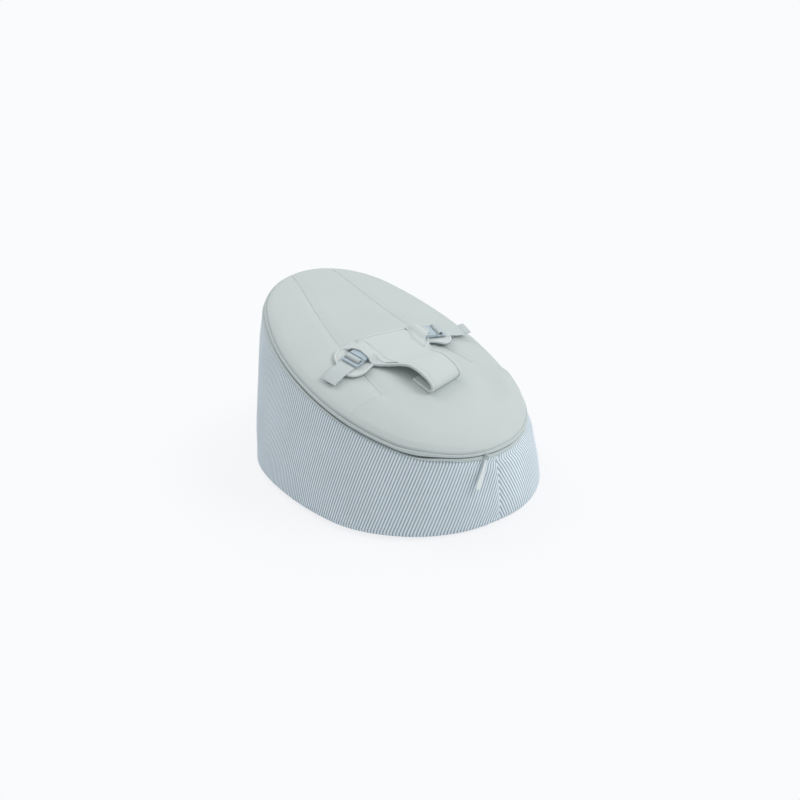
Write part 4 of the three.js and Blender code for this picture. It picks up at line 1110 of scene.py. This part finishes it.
top_u = np.linspace(-0.056, 0.056, 60)
top_w = head_edge(top_u) + edge_out
left_line, left_up = tongue_outline("left")
right_line, right_up = tongue_outline("right")
head_binding = harness_point(top_u, top_w, pad_lift + pad_thickness / 2)
add_binding("binding_top",
            np.vstack([left_line, head_binding, right_line[::-1]]),
            np.vstack([left_up, seat_up(top_u, top_w), right_up[::-1]]),
            np.concatenate([np.full(len(left_line), 0.0024), np.full(60, binding_half_height),
                            np.full(len(right_line), 0.0024)]),
            ["harness_binding_top", "guard_binding_left", "guard_binding_right"])

for ending, side in (("left", -1), ("right", 1)):
    edge_w = np.linspace(flares[ending]["corner_w"] - 0.001, pad_end_w, 110)
    edge_u = side * (pad_half(edge_w, ending) + edge_out)
    edge_places = edge_u, skewed(edge_u, edge_w)
    add_binding(f"binding_{ending}", harness_point(*edge_places, arch_mid(edge_w) + binding_raise),
                seat_up(*edge_places),
                binding_half_height, [f"harness_binding_{ending}"])
    turn_path = strap_path(side * strap_half)
    turn_out = turn_path + 0.01 * path_normals(turn_path)
    turn_u = np.full(len(turn_path), side * (strap_half + edge_out))
    turn_path = turn_path + binding_raise * path_normals(turn_path)
    turn_line = harness_point(turn_u, turn_path[:, 0], turn_path[:, 1])
    turn_up = harness_point(turn_u, turn_out[:, 0], turn_out[:, 1]) - turn_line
    add_binding(f"fold_binding_{ending}", turn_line, turn_up / np.linalg.norm(turn_up, axis=1)[:, None],
                binding_half_height, body="fold")


# Side release buckles. Each socket is held under an arm's facing. The clip plugs into it with three
# prongs, and the webbing rolls over the bar in its frame. Both halves are moulded in blue-grey.

buckle_turn, mouth_a, mouth_b, plate_base = math.radians(12.5), -0.0173, 0.0019, 0.0084
plate_thickness, plate_front, plate_back, buckle_width = 0.004, 0.0156, 0.0381, 0.036
inner_slot, bar_front, bar_back, outer_bar = 0.0185, 0.0224, 0.0264, 0.0320
slot_half = 0.0156
prong_tip, prong_low, prong_high, prong_across = -0.0044, 0.0002, 0.0038, 0.0123
socket_back, socket_front, socket_half, socket_low, socket_high = -0.010, 0.015, 0.017, -0.002, 0.006
buckle_surface = moulded_plastic("buckle_plastic_finish", from_srgb(190, 204, 212), from_srgb(178, 194, 203))


def buckle_frame(ending):
    """Origin and axes of a buckle: outward along it, across it, off the underside of its plate."""
    lobe = lobe_frames[ending]
    turned = np.array([[math.cos(buckle_turn), -math.sin(buckle_turn), 0],
                       [math.sin(buckle_turn), math.cos(buckle_turn), 0], [0, 0, 1]])
    return in_frame(lobe, mouth_a, mouth_b, plate_base), turned @ lobe[1]


buckle_frames = {"left": buckle_frame("left"), "right": buckle_frame("right")}


def rounded_outline(x0, y0, x1, y1, radius, steps=5):
    return rounded_slab(x0, x1, y0, y1, radius, steps)


def moulding(outline, holes, low, high, edge):
    """Points and faces of a flat moulding with holes and rounded edges, in its own directions."""
    shape = bpy.data.curves.new("moulding", "CURVE")
    shape.dimensions, shape.fill_mode = "2D", "BOTH"
    for places in [outline, *holes]:
        line = shape.splines.new("POLY")
        line.points.add(len(places) - 1)
        line.points.foreach_set("co", np.column_stack([places, np.zeros(len(places)), np.ones(len(places))]).ravel())
        line.use_cyclic_u = True
    shape.extrude, shape.bevel_depth, shape.bevel_resolution = (high - low) / 2 - edge, edge, 2
    shape.offset = -edge
    carrier = bpy.data.objects.new("moulding", shape)
    bpy.context.scene.collection.objects.link(carrier)
    mesh = bpy.data.meshes.new_from_object(carrier.evaluated_get(bpy.context.evaluated_depsgraph_get()))
    points = np.array([v.co for v in mesh.vertices])
    faces = [list(p.vertices) for p in mesh.polygons]
    bpy.data.objects.remove(carrier)
    bpy.data.meshes.remove(mesh)
    points[:, 2] += (low + high) / 2
    return points, faces


def joined(parts):
    points, faces, first = [], [], 0
    for part_points, part_faces in parts:
        points.append(np.asarray(part_points).reshape(-1, 3))
        faces += [[i + first for i in face] for face in part_faces]
        first += len(points[-1])
    return np.vstack(points), faces


def bar_between(x0, x1, y0, y1, z0, z1, radius):
    """A bar along x with rounded long edges and eased ends."""
    rings = []
    for x, ease in ((x0, 0.55), (x0 + radius * 0.4, 0.15), (x0 + radius, 0), (x1 - radius, 0),
                    (x1 - radius * 0.4, 0.15), (x1, 0.55)):
        grow = ease * radius
        section = rounded_slab(y0 + grow, y1 - grow, z0 + grow, z1 - grow, radius)
        rings.append(stack(x, section[:, 0], section[:, 1]))
    return np.array(rings).reshape(-1, 3), ring_faces(len(rings), len(rings[0]), False)


def add_clip(ending):
    body = f"buckle_clip_{ending}"
    half = buckle_width / 2
    slots = [rounded_outline(inner_slot, -slot_half, bar_front, slot_half, 0.0011, 3),
             rounded_outline(bar_back, -slot_half, outer_bar, slot_half, 0.0016, 3)]
    parts = [moulding(rounded_outline(plate_front, -half, plate_back, half, 0.0036), slots, 0.0,
                      plate_thickness, 0.0009)]
    parts.append(bar_between(plate_front, plate_front + 0.0024, -half + 0.001, half - 0.001, -0.0008, 0.0048, 0.0009))
    for across in (-1, 0, 1):
        y = across * prong_across
        parts.append(bar_between(prong_tip, plate_front + 0.001, y - 0.0025, y + 0.0025, prong_low, prong_high, 0.0008))
    for side in (-1, 1):
        for k in range(4):
            x = plate_front + 0.0105 + k * 0.0021
            parts.append(bar_between(x, x + 0.0011, side * half - 0.0006, side * half + 0.0006, 0.0008, 0.0032, 0.0004))
    points, faces = joined(parts)
    piece = make_piece(f"clip_{ending}", in_frame(buckle_frames[ending], *points.T), faces, buckle_surface, sharp=35)
    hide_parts(body)
    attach(piece, body)


def add_socket(ending):
    outer = rounded_slab(-socket_half, socket_half, socket_low, socket_high, 0.0024, 5)
    bore = rounded_slab(-0.0154, 0.0154, socket_low + 0.0016, socket_high - 0.0016, 0.0010, 5)
    middle = np.array([0, (socket_low + socket_high) / 2])

    def shrink(section, by):
        return middle + (section - middle) * (1 - by / np.abs([socket_half, 0.004]))

    stations = [(socket_back, shrink(outer, 0.0006)), (socket_back + 0.0006, outer), (socket_front - 0.0008, outer),
                (socket_front, shrink(outer, 0.0006)), (socket_front, shrink(bore, -0.0003)),
                (socket_front - 0.0006, bore), (socket_back, bore)]
    rings = np.array([stack(x, section[:, 0], section[:, 1]) for x, section in stations])
    points, faces = rings.reshape(-1, 3), ring_faces(len(rings), rings.shape[1], True)
    piece = make_piece(f"socket_{ending}", in_frame(buckle_frames[ending], *points.T), faces, buckle_surface, sharp=35)
    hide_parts(f"buckle_socket_{ending}")
    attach(piece, "harness")


for ending in ("left", "right"):
    add_socket(ending)
    add_clip(ending)


# Facings. A band of the coated cloth crosses each arm, bridges the socket and ends in an arched mouth
# with a bound edge. Its inner edge lies slantwise on the pad and is stitched down.

facing_thickness, facing_gap = 0.0013, 0.0008
socket_top = plate_base + socket_high + 0.0012
facings = {"left": {"inner_head": 0.0574, "inner_foot": 0.0458, "turn_w": 0.018, "turn": 0.026, "foot_w": -0.0530,
                    "mouth": 0.0800, "mouth_head_w": 0.0390, "sweep": 0.0095, "sweep_w": 0.010, "foot_bow": 0.0},
           "right": {"inner_head": 0.0400, "inner_foot": 0.0520, "turn_w": 0.034, "turn": -0.034, "foot_w": -0.0310,
                     "mouth": 0.0798, "mouth_head_w": 0.0315, "sweep": 0.0040, "sweep_w": 0.018, "foot_bow": 0.0035}}


def facing_lift(ending, u, w):
    """Height of a facing's underside: over the pad, down to the tongue, and up over the socket."""
    a, b = u - lobe_u, w - lobe_w
    over_pad = smooth((arm_half + 0.004 - u) / 0.006)
    rest = mix(tongue_high + facing_gap, arch_mid(w) + pad_thickness * 0.56 + facing_gap, over_pad)
    across = np.abs(b - mouth_b - (mouth_a - a) * math.tan(buckle_turn))
    bridge = 1 - smooth((across - socket_half - 0.0008) / np.where(b > mouth_b, 0.0135, 0.0080))
    ramp = smooth((a + 0.0440) / 0.0150)
    return np.maximum(rest, mix(rest, socket_top, bridge * ramp))


def add_facing(ending):
    side, kind = (-1 if ending == "left" else 1), facings[ending]
    rows, shares = near_edges(60, 1.4), near_edges(44, 1.4)
    corner_w = flares[ending]["corner_w"]
    mouth_w = mix(kind["mouth_head_w"], corner_w, rows)
    mouth_u = (kind["mouth"] + kind["sweep"] * smooth((mouth_w - kind["sweep_w"]) / 0.02)
               - (kind["mouth"] - corner_half) * smooth((corner_w + 0.0085 - mouth_w) / 0.0085))
    mouth = np.stack([mouth_u, mouth_w], -1)
    bend = smooth((mix(0.040, kind["foot_w"], rows) - kind["turn_w"]) / kind["turn"])
    inner_u = mix(kind["inner_foot"], kind["inner_head"], bend)
    inner_w = mix(head_edge(side * kind["inner_head"]) - 0.0015, kind["foot_w"], rows)
    inner = np.stack([inner_u, inner_w], -1)
    flat = mix(inner[:, None], mouth[:, None], shares[None, :, None])
    flat[..., 1] += kind["foot_bow"] * rows[:, None] ** 3 * np.sin(math.pi * shares)

    def place(where, off):
        lift = facing_lift(ending, where[..., 0], where[..., 1]) + off
        return harness_point(side * where[..., 0], where[..., 1], lift)

    turned_in = 0.0011 * (1 - smooth(shares / 0.14))
    points, faces = closed_panel(place(flat, facing_thickness - turned_in), place(flat, -turned_in))
    piece = make_piece(f"facing_{ending}", points, faces, harness_surface)
    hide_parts(f"arm_facing_{ending}")
    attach(piece, "harness")
    seat_dir = seat_up(side * lobe_u, lobe_w)
    for label, edge, half_width, half_height, sunk in (("mouth_binding", mouth, 0.0021, 0.0017, 0.0),
                                                       ("facing_fold", inner, 0.0012, 0.0008, 0.0008)):
        line = evened(place(edge, facing_thickness / 2 + 0.0002 - sunk))
        points, faces = swept(line, np.broadcast_to(seat_dir, line.shape), half_width, half_height)
        bound = make_piece(f"{label}_{ending}", points, faces, binding_painted_highlight_surface)
        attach(bound, "harness")
    along = (mouth - inner) / np.linalg.norm(mouth - inner, axis=1)[:, None]
    sewn = [(place((edge + along * off)[3:-3], facing_thickness + 0.0001), seat_dir)
            for edge, off in ((inner, 0.0032), (inner, 0.0065), (mouth, -0.0040))]
    stitches = row_along(f"facing_stitches_{ending}", sewn, "stitches", 0.0033, stitch_size, thread_surface)
    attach(stitches, "harness")


add_facing("left")
add_facing("right")


# Webbing. Each clip holds an end of 30 mm woven webbing that rises through the inner slot, rolls over
# the bar and leaves under the outer bar as a free tail with a sewn hem.

webbing_half, webbing_thickness = 0.015, 0.0013
webbing_skin = 0.0003 + webbing_thickness / 2
tail_end, hem_length = {"left": plate_back + 0.055, "right": plate_back + 0.060}, 0.012
tail_drop = {"left": 0.007, "right": -0.005}
strap_upper = -webbing_skin - webbing_thickness - 0.0003
strap_lower = webbing_skin - plate_base
strap_radius = (strap_upper - strap_lower) / 2
tongue_end = lobe_reach + 0.0022 + 0.0009 - mouth_a
strap_bend = tongue_end / math.cos(buckle_turn) + webbing_thickness


def webbing_weave():
    """Narrow woven webbing: slanting rows across its width, read from its own length and width."""
    surface, tree, shader = new_surface("woven_webbing", 0.72, sheen=0.15)
    place = wire(tree, "ShaderNodeTexCoord")
    cut = wire(tree, "ShaderNodeSeparateXYZ", {0: place.outputs["UV"]})
    rows = wire(tree, "ShaderNodeMath", {0: cut.outputs[0], 1: 2 * math.pi / 0.0016}, operation="MULTIPLY")
    zigzag = wire(tree, "ShaderNodeMath", {0: cut.outputs[1], 1: 0.0038}, operation="PINGPONG")
    slant = wire(tree, "ShaderNodeMath", {0: zigzag.outputs[0], 1: 2200.0, 2: rows.outputs[0]},
                 operation="MULTIPLY_ADD")
    wave = wire(tree, "ShaderNodeMath", {0: slant.outputs[0]}, operation="SINE")
    warp = wire(tree, "ShaderNodeMath", {0: cut.outputs[1], 1: 2 * math.pi / 0.0011}, operation="MULTIPLY")
    ends = wire(tree, "ShaderNodeMath", {0: warp.outputs[0]}, operation="SINE")
    cloth = wire(tree, "ShaderNodeMath", {0: ends.outputs[0], 1: 0.35, 2: wave.outputs[0]},
                 operation="MULTIPLY_ADD")
    tone = wire(tree, "ShaderNodeMapRange", {0: cloth.outputs[0], 1: -1.3, 2: 1.3, 3: 0.0, 4: 1.0})
    colour = wire(tree, "ShaderNodeMix", {0: tone.outputs[0], 6: from_srgb(196, 206, 205),
                                          7: from_srgb(210, 218, 217)}, data_type="RGBA")
    bump = wire(tree, "ShaderNodeBump", {"Height": cloth.outputs[0], "Strength": 0.35, "Distance": 0.00025})
    tree.links.new(colour.outputs[2], shader.inputs["Base Color"])
    tree.links.new(bump.outputs[0], shader.inputs["Normal"])
    return surface


webbing_surface = webbing_weave()


def arc(centre_x, centre_z, radius, start, end, steps):
    turn = np.radians(np.linspace(start, end, steps))
    return np.stack([centre_x + radius * np.cos(turn), centre_z + radius * np.sin(turn)], -1)


def ribbon(line, thickness, ending, twist=0.0):
    """Webbing along a line of (along, off) places in a buckle's frame, as rings with rounded sides."""
    line = np.asarray(line, float)
    ahead = np.gradient(line, axis=0)
    ahead /= np.linalg.norm(ahead, axis=1)[:, None]
    side = np.stack([-ahead[:, 1], ahead[:, 0]], -1)
    thick = np.broadcast_to(thickness, len(line))
    across = np.linspace(-1, 1, 13)
    section = [(y * webbing_half, 0.5) for y in across] + [(y * webbing_half, -0.5) for y in across[::-1]]
    section = np.array(section)
    edge = np.abs(np.abs(section[:, 0]) - webbing_half) < 1e-9
    section[edge, 1] *= 0.45
    section[edge, 0] *= 1.012
    length = np.concatenate([[0], np.cumsum(np.linalg.norm(np.diff(line, axis=0), axis=1))])
    lean = twist * smooth(length / length[-1])[:, None] * section[None, :, 0]
    x = line[:, 0, None] + side[:, 0, None] * section[None, :, 1] * thick[:, None]
    z = line[:, 1, None] + side[:, 1, None] * section[None, :, 1] * thick[:, None] + lean
    y = np.broadcast_to(section[None, :, 0], x.shape)
    uv = np.stack([np.broadcast_to(length[:, None], x.shape), y + 0.02], -1)
    points = in_frame(buckle_frames[ending], x, y, z)
    return points, ring_faces(len(line), len(section), False), uv, length[-1]


def stitched_box(ending, height, start, end, inset=0.002, cross=True):
    """Lines of a stitched box, with a cross in it, on top of a strap whose height is given."""
    half = webbing_half - inset
    corners = [(start, -half), (end, -half), (end, half), (start, half), (start, -half)]
    routes = [corners] + ([[corners[0], corners[2]], [corners[1], corners[3]]] if cross else [])
    up = buckle_frames[ending][1][2]
    lines = []
    for route in routes:
        places = np.concatenate([np.linspace(p, q, 14)[:-1] for p, q in zip(route, route[1:])] + [[route[-1]]])
        lines.append((in_frame(buckle_frames[ending], places[:, 0], places[:, 1], height(places[:, 0])), up))
    return lines


def add_webbing(ending):
    body = f"buckle_clip_{ending}"
    roll, roll_z = 0.0041, 0.0050
    roll_x = (bar_front + bar_back) / 2 + 0.0010
    up_x, down_x = roll_x - roll, roll_x + roll
    fall_start = strap_bend + strap_radius + webbing_thickness
    drop = tail_drop[ending]
    below = -webbing_skin
    turn_out = 0.0016
    end = tail_end[ending]
    tail_x = np.linspace(down_x + turn_out, end, 40)
    sag = drop * (np.maximum(tail_x - fall_start, 0) / (end - fall_start)) ** 2
    ripple = 0.0005 * np.sin((tail_x - plate_back) / 0.009) * smooth((tail_x - plate_back) / 0.01)
    tail = np.stack([tail_x, below - sag + ripple], -1)
    line = np.vstack([
        [[up_x, below - webbing_thickness / 2], [up_x, below + 0.001], [up_x, 0.001]],
        arc((up_x + down_x) / 2, roll_z, roll, 180, 0, 15),
        [[down_x, 0.0012]],
        arc(down_x + turn_out, below + turn_out, turn_out, 180, 270, 6)[:-1],
        tail,
    ])
    thickness = np.where((line[:, 0] > end - hem_length) & (line[:, 1] < 0.012), 1.9, 1.0) * webbing_thickness
    points, faces, uv, length = ribbon(line, thickness, ending, twist=-0.03 if ending == "left" else 0.02)
    piece = make_piece(f"tail_webbing_{ending}", points, faces, webbing_surface, uv=uv, sharp=60)
    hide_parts(f"webbing_{ending}")
    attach(piece, body)
    top = lambda x: np.interp(x, tail_x, tail[:, 1]) + webbing_thickness * 0.98
    lines = stitched_box(ending, top, end - hem_length + 0.001, end - 0.002, cross=False)
    stitches = row_along(f"hem_stitches_{ending}", lines, "stitches", 0.003, stitch_size, thread_surface)
    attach(stitches, body)


def add_load_strap(ending):
    """The strap that pulls on the bar: out past the tongue, round its end and back under it to the seam."""
    middle = (strap_upper + strap_lower) / 2
    start = bar_front - webbing_skin - webbing_thickness / 2
    line = np.vstack([
        np.stack([np.linspace(start, strap_bend, 16)[:-1], np.full(15, strap_upper)], -1),
        arc(strap_bend, middle, strap_radius, 90, -90, 21),
        np.stack([np.linspace(strap_bend, start, 16)[1:], np.full(15, strap_lower)], -1),
    ])
    points, faces, uv, length = ribbon(line, webbing_thickness, ending)
    piece = make_piece(f"seat_strap_{ending}", points, faces, webbing_surface, uv=uv, sharp=60)
    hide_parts(f"load_strap_{ending}")
    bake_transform(piece)


for ending in ("left", "right"):
    add_webbing(ending)
    add_load_strap(ending)


# Zip slider. A small moulded slider rides over the closed zip beside the front seam. A thin neck
# through the zip joins its outer plate to the inner one, and a loop on the plate holds the pull.

slider_angle = -math.pi / 2 - math.radians(9.2)
slider_length, slider_height, slider_plate = 0.009, 0.0088, 0.0014
slider_face = band_half + 0.0005
bail_depth, bail_hole = 0.003, 0.004


def slider_axes():
    origin = rim_point(slider_angle, 0.0, 0.0)
    out = unit(rim_point(slider_angle, 1.0, 0.0) - origin)
    up = unit(rim_point(slider_angle, 0.0, 1.0) - origin)
    return origin, np.array([out, up, np.cross(out, up)])


slider_frame = slider_axes()
half_height, half_length = slider_height / 2, slider_length / 2
front_plate = moulding(rounded_outline(-half_length, -half_height, half_length, half_height, 0.0022), [],
                       slider_face, slider_face + slider_plate, 0.0004)
back_plate = moulding(rounded_outline(-half_length, -half_height / 2, half_length, half_height / 2, 0.0010), [],
                      -band_half - 0.0019, -slider_face, 0.0001)
neck = bar_between(-half_length + 0.0012, half_length - 0.0012, -0.0003, 0.0003, -slider_face - 0.0002,
                   slider_face + 0.0002, 0.0001)
bail_turns = np.linspace(0, math.pi, 17)
bail_reach, bail_rise = bail_depth + 0.0004, bail_hole / 2 + 0.0005
bail_line = np.stack([np.zeros(17), bail_rise * np.cos(bail_turns),
                      slider_face + slider_plate - 0.0006 + bail_reach * np.sin(bail_turns) ** 0.7], -1)
bail = swept(bail_line, np.tile([1.0, 0, 0], (17, 1)), 0.0005, 0.0013)
slider_points, slider_faces = joined([front_plate, back_plate, neck, bail])
along_x, up_y, out_z = slider_points.T
slider_piece = make_piece("slider_body", in_frame(slider_frame, out_z, up_y, along_x), slider_faces, zip_surface,
                          sharp=35)
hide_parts("zip_slider")
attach(slider_piece, "zip_slider")


# Pull of the zip. A small ring hangs in the slider's loop and carries a tab of the coated cloth,
# folded over and welded. The tab lies aslant against the wall.

ring_width, ring_length, ring_wire, pull_width, pull_length = 0.009, 0.011, 0.0015, 0.010, 0.049
pull_skew, pull_rest_share = math.radians(25), 0.5
pull_bulge = 0.0055


def cad_wall(share):
    """The wall below the slider as it is built, for the lean of the pull that rests on it."""
    top = rim_point(slider_angle, band_half, -zip_half - band_height - 0.0003)
    x, y = base_oval.at(slider_angle)
    bulge = pull_bulge * math.sin(math.pi * share)
    return (mix(top, stack(x, y + base_centre_y, foot_height), share)
            + bulge * stack(math.cos(slider_angle), math.sin(slider_angle), 0))


hang = slider_frame[1] @ (cad_wall(pull_rest_share) - cad_wall(0.0))
pull_lean = math.atan2(hang[0], -hang[1])


def pull_axes():
    """Origin on the loop, with axes along the ring's bar, up the pull and through its thickness."""
    origin = in_frame(slider_frame, slider_face + slider_plate + bail_depth / 2, 0.0, 0.0)
    stand = np.array([[0, 0, 1], [0, 1, 0], [-1, 0, 0]], float)
    lean = np.array([[1, 0, 0], [0, math.cos(pull_lean), math.sin(pull_lean)],
                     [0, -math.sin(pull_lean), math.cos(pull_lean)]])
    skew = np.array([[math.cos(pull_skew), math.sin(pull_skew), 0],
                     [-math.sin(pull_skew), math.cos(pull_skew), 0], [0, 0, 1]])
    return origin, lean @ skew @ stand @ slider_frame[1]


pull_frame = pull_axes()
ring_top = ring_wire / 2
ring_centre = ring_top - ring_length / 2
ring_middle = rounded_slab(-ring_width / 2 + ring_wire / 2, ring_width / 2 - ring_wire / 2,
                           ring_centre - ring_length / 2 + ring_wire / 2,
                           ring_centre + ring_length / 2 - ring_wire / 2, 0.0018, 6)
ring_points, ring_shape = swept(stack(ring_middle[:, 0], ring_middle[:, 1], 0.0),
                                np.tile([0, 0, 1.0], (len(ring_middle), 1)), ring_wire / 2, 0.00065, closed=True)
ring_piece = make_piece("pull_ring", in_frame(pull_frame, *ring_points.T), ring_shape, zip_surface)
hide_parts("zip_pull_ring")
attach(ring_piece, "zip_pull")

eye_y = ring_top - ring_length + ring_wire / 2
tab_low = eye_y - pull_length
neck_half, tab_half = 0.0026, pull_width / 2
tab_rows = np.concatenate([np.linspace(eye_y + 0.0021, eye_y - 0.008, 14), np.linspace(eye_y - 0.010, tab_low, 40)])
widths = mix(neck_half, tab_half, np.clip((eye_y - 0.0035 - tab_rows) / 0.034, 0, 1))
corner = np.clip((tab_rows - tab_low) / 0.0012, 0, 1)
widths = widths - 0.0012 * (1 - np.sqrt(1 - (1 - corner) ** 2))
from_eye = np.abs(tab_rows - eye_y)
belly = np.where(from_eye < 0.0021, np.sqrt(np.maximum(0.0021 ** 2 - from_eye ** 2, 1e-9)), 0.0)
half_thick = np.maximum(belly, 0.00105 * smooth((eye_y + 0.0021 - tab_rows) / 0.001) + 0.00005)
tab_across = 2 * near_edges(15, 1.8) - 1
tab_x = widths[:, None] * tab_across[None, :] - 0.03 * (eye_y - tab_rows)[:, None]
tab_y = np.broadcast_to(tab_rows[:, None], tab_x.shape)
side_round = np.sqrt(1 - np.clip((np.abs(tab_across) - 0.86) / 0.14, 0, 1) ** 2 * 0.7)
pressed = 0.00022 * np.exp(-((np.abs(tab_across) - 0.72) / 0.07) ** 2)[None, :] * smooth(
    (eye_y - 0.010 - tab_rows) / 0.003)[:, None]
tab_z = half_thick[:, None] * side_round[None, :] - pressed
bow = 0.0004 * np.sin((tab_rows - eye_y) / 0.016)[:, None]
tab_points, tab_faces = closed_panel(in_frame(pull_frame, tab_x, tab_y, tab_z + bow),
                                     in_frame(pull_frame, tab_x, tab_y, bow - tab_z))
tab_surface = coated_cloth("pull_tab_cloth", from_srgb(233, 239, 238), from_srgb(226, 233, 232), grain=1500.0)
tab_piece = make_piece("pull_tab", tab_points, tab_faces, tab_surface)
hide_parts("zip_pull_tab")
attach(tab_piece, "zip_pull")


# The studio: a pale floor that takes the shadow near the bag and fades into the background, two broad
# soft lamps to the front right and beyond the head end, a surrounding light that is brighter above,
# and the camera.

def floor_surface():
    surface = bpy.data.materials.new("studio_floor")
    surface.use_nodes = True
    tree = surface.node_tree
    tree.nodes.clear()
    place = wire(tree, "ShaderNodeTexCoord")
    away = wire(tree, "ShaderNodeVectorMath", {0: place.outputs["Object"]}, operation="LENGTH")
    fade = wire(tree, "ShaderNodeMapRange", {0: away.outputs["Value"], 1: 0.30, 2: 0.55, 3: 0.84, 4: 1.0},
                interpolation_type="SMOOTHSTEP")
    ray = wire(tree, "ShaderNodeLightPath")
    shown = wire(tree, "ShaderNodeMath", {0: fade.outputs[0], 1: ray.outputs["Is Camera Ray"]},
                 operation="MULTIPLY")
    paint = wire(tree, "ShaderNodeBsdfDiffuse", {"Color": (0.93, 0.94, 0.955, 1)})
    glow = wire(tree, "ShaderNodeEmission", {"Color": from_srgb(250, 251, 253), "Strength": 1.0})
    both = wire(tree, "ShaderNodeMixShader", {0: shown.outputs[0], 1: paint.outputs[0], 2: glow.outputs[0]})
    wire(tree, "ShaderNodeOutputMaterial", {0: both.outputs[0]})
    return surface


floor_size = 30.0
floor_corners = [(-floor_size, -floor_size, 0), (floor_size, -floor_size, 0), (floor_size, floor_size, 0),
                 (-floor_size, floor_size, 0)]
floor = make_piece("floor", floor_corners, [(0, 1, 2, 3)], floor_surface(), tidy=False)
floor.location.z = -0.0002

world = bpy.data.worlds.new("studio_light")
bpy.context.scene.world = world
world.use_nodes = True
sky = world.node_tree
sky.nodes.clear()
toward = wire(sky, "ShaderNodeTexCoord")
height = wire(sky, "ShaderNodeSeparateXYZ", {0: toward.outputs["Generated"]})
level = wire(sky, "ShaderNodeMapRange", {0: height.outputs[2], 1: -0.1, 2: 0.9, 3: 0.30, 4: 0.70},
             interpolation_type="SMOOTHSTEP")
surround = wire(sky, "ShaderNodeBackground", {"Color": (0.97, 0.985, 1.0, 1), "Strength": level.outputs[0]})
behind = wire(sky, "ShaderNodeBackground", {"Color": from_srgb(250, 251, 253), "Strength": 1.0})
seen = wire(sky, "ShaderNodeLightPath")
pick = wire(sky, "ShaderNodeMixShader", {0: seen.outputs["Is Camera Ray"], 1: surround.outputs[0],
                                         2: behind.outputs[0]})
wire(sky, "ShaderNodeOutputWorld", {0: pick.outputs[0]})


def soft_lamp(name, place, aim, size, power):
    lamp = bpy.data.lights.new(name, "AREA")
    lamp.size, lamp.energy = size, power
    holder = bpy.data.objects.new(name, lamp)
    holder.location = place
    holder.rotation_euler = (Vector(aim) - Vector(place)).to_track_quat("-Z", "Y").to_euler()
    bpy.context.scene.collection.objects.link(holder)


soft_lamp("front_right_lamp", (1.35, -1.5, 1.8), (0, 0, 0.15), 1.2, 25)
soft_lamp("head_lamp", (-0.5, 1.6, 2.2), (0, 0, 0.15), 1.4, 16)
camera_place = Vector((-0.9699, -1.2104, 0.8287))
camera_aim = Vector((0.5771, 0.7062, -0.4101))
camera = bpy.data.cameras.new("photo_camera")
camera.lens, camera.sensor_width = 40, 36
holder = bpy.data.objects.new("photo_camera", camera)
holder.location = camera_place
holder.rotation_euler = camera_aim.to_track_quat("-Z", "Y").to_euler()
bpy.context.scene.collection.objects.link(holder)
bpy.context.scene.camera = holder
bpy.context.scene.view_settings.view_transform = "Standard"
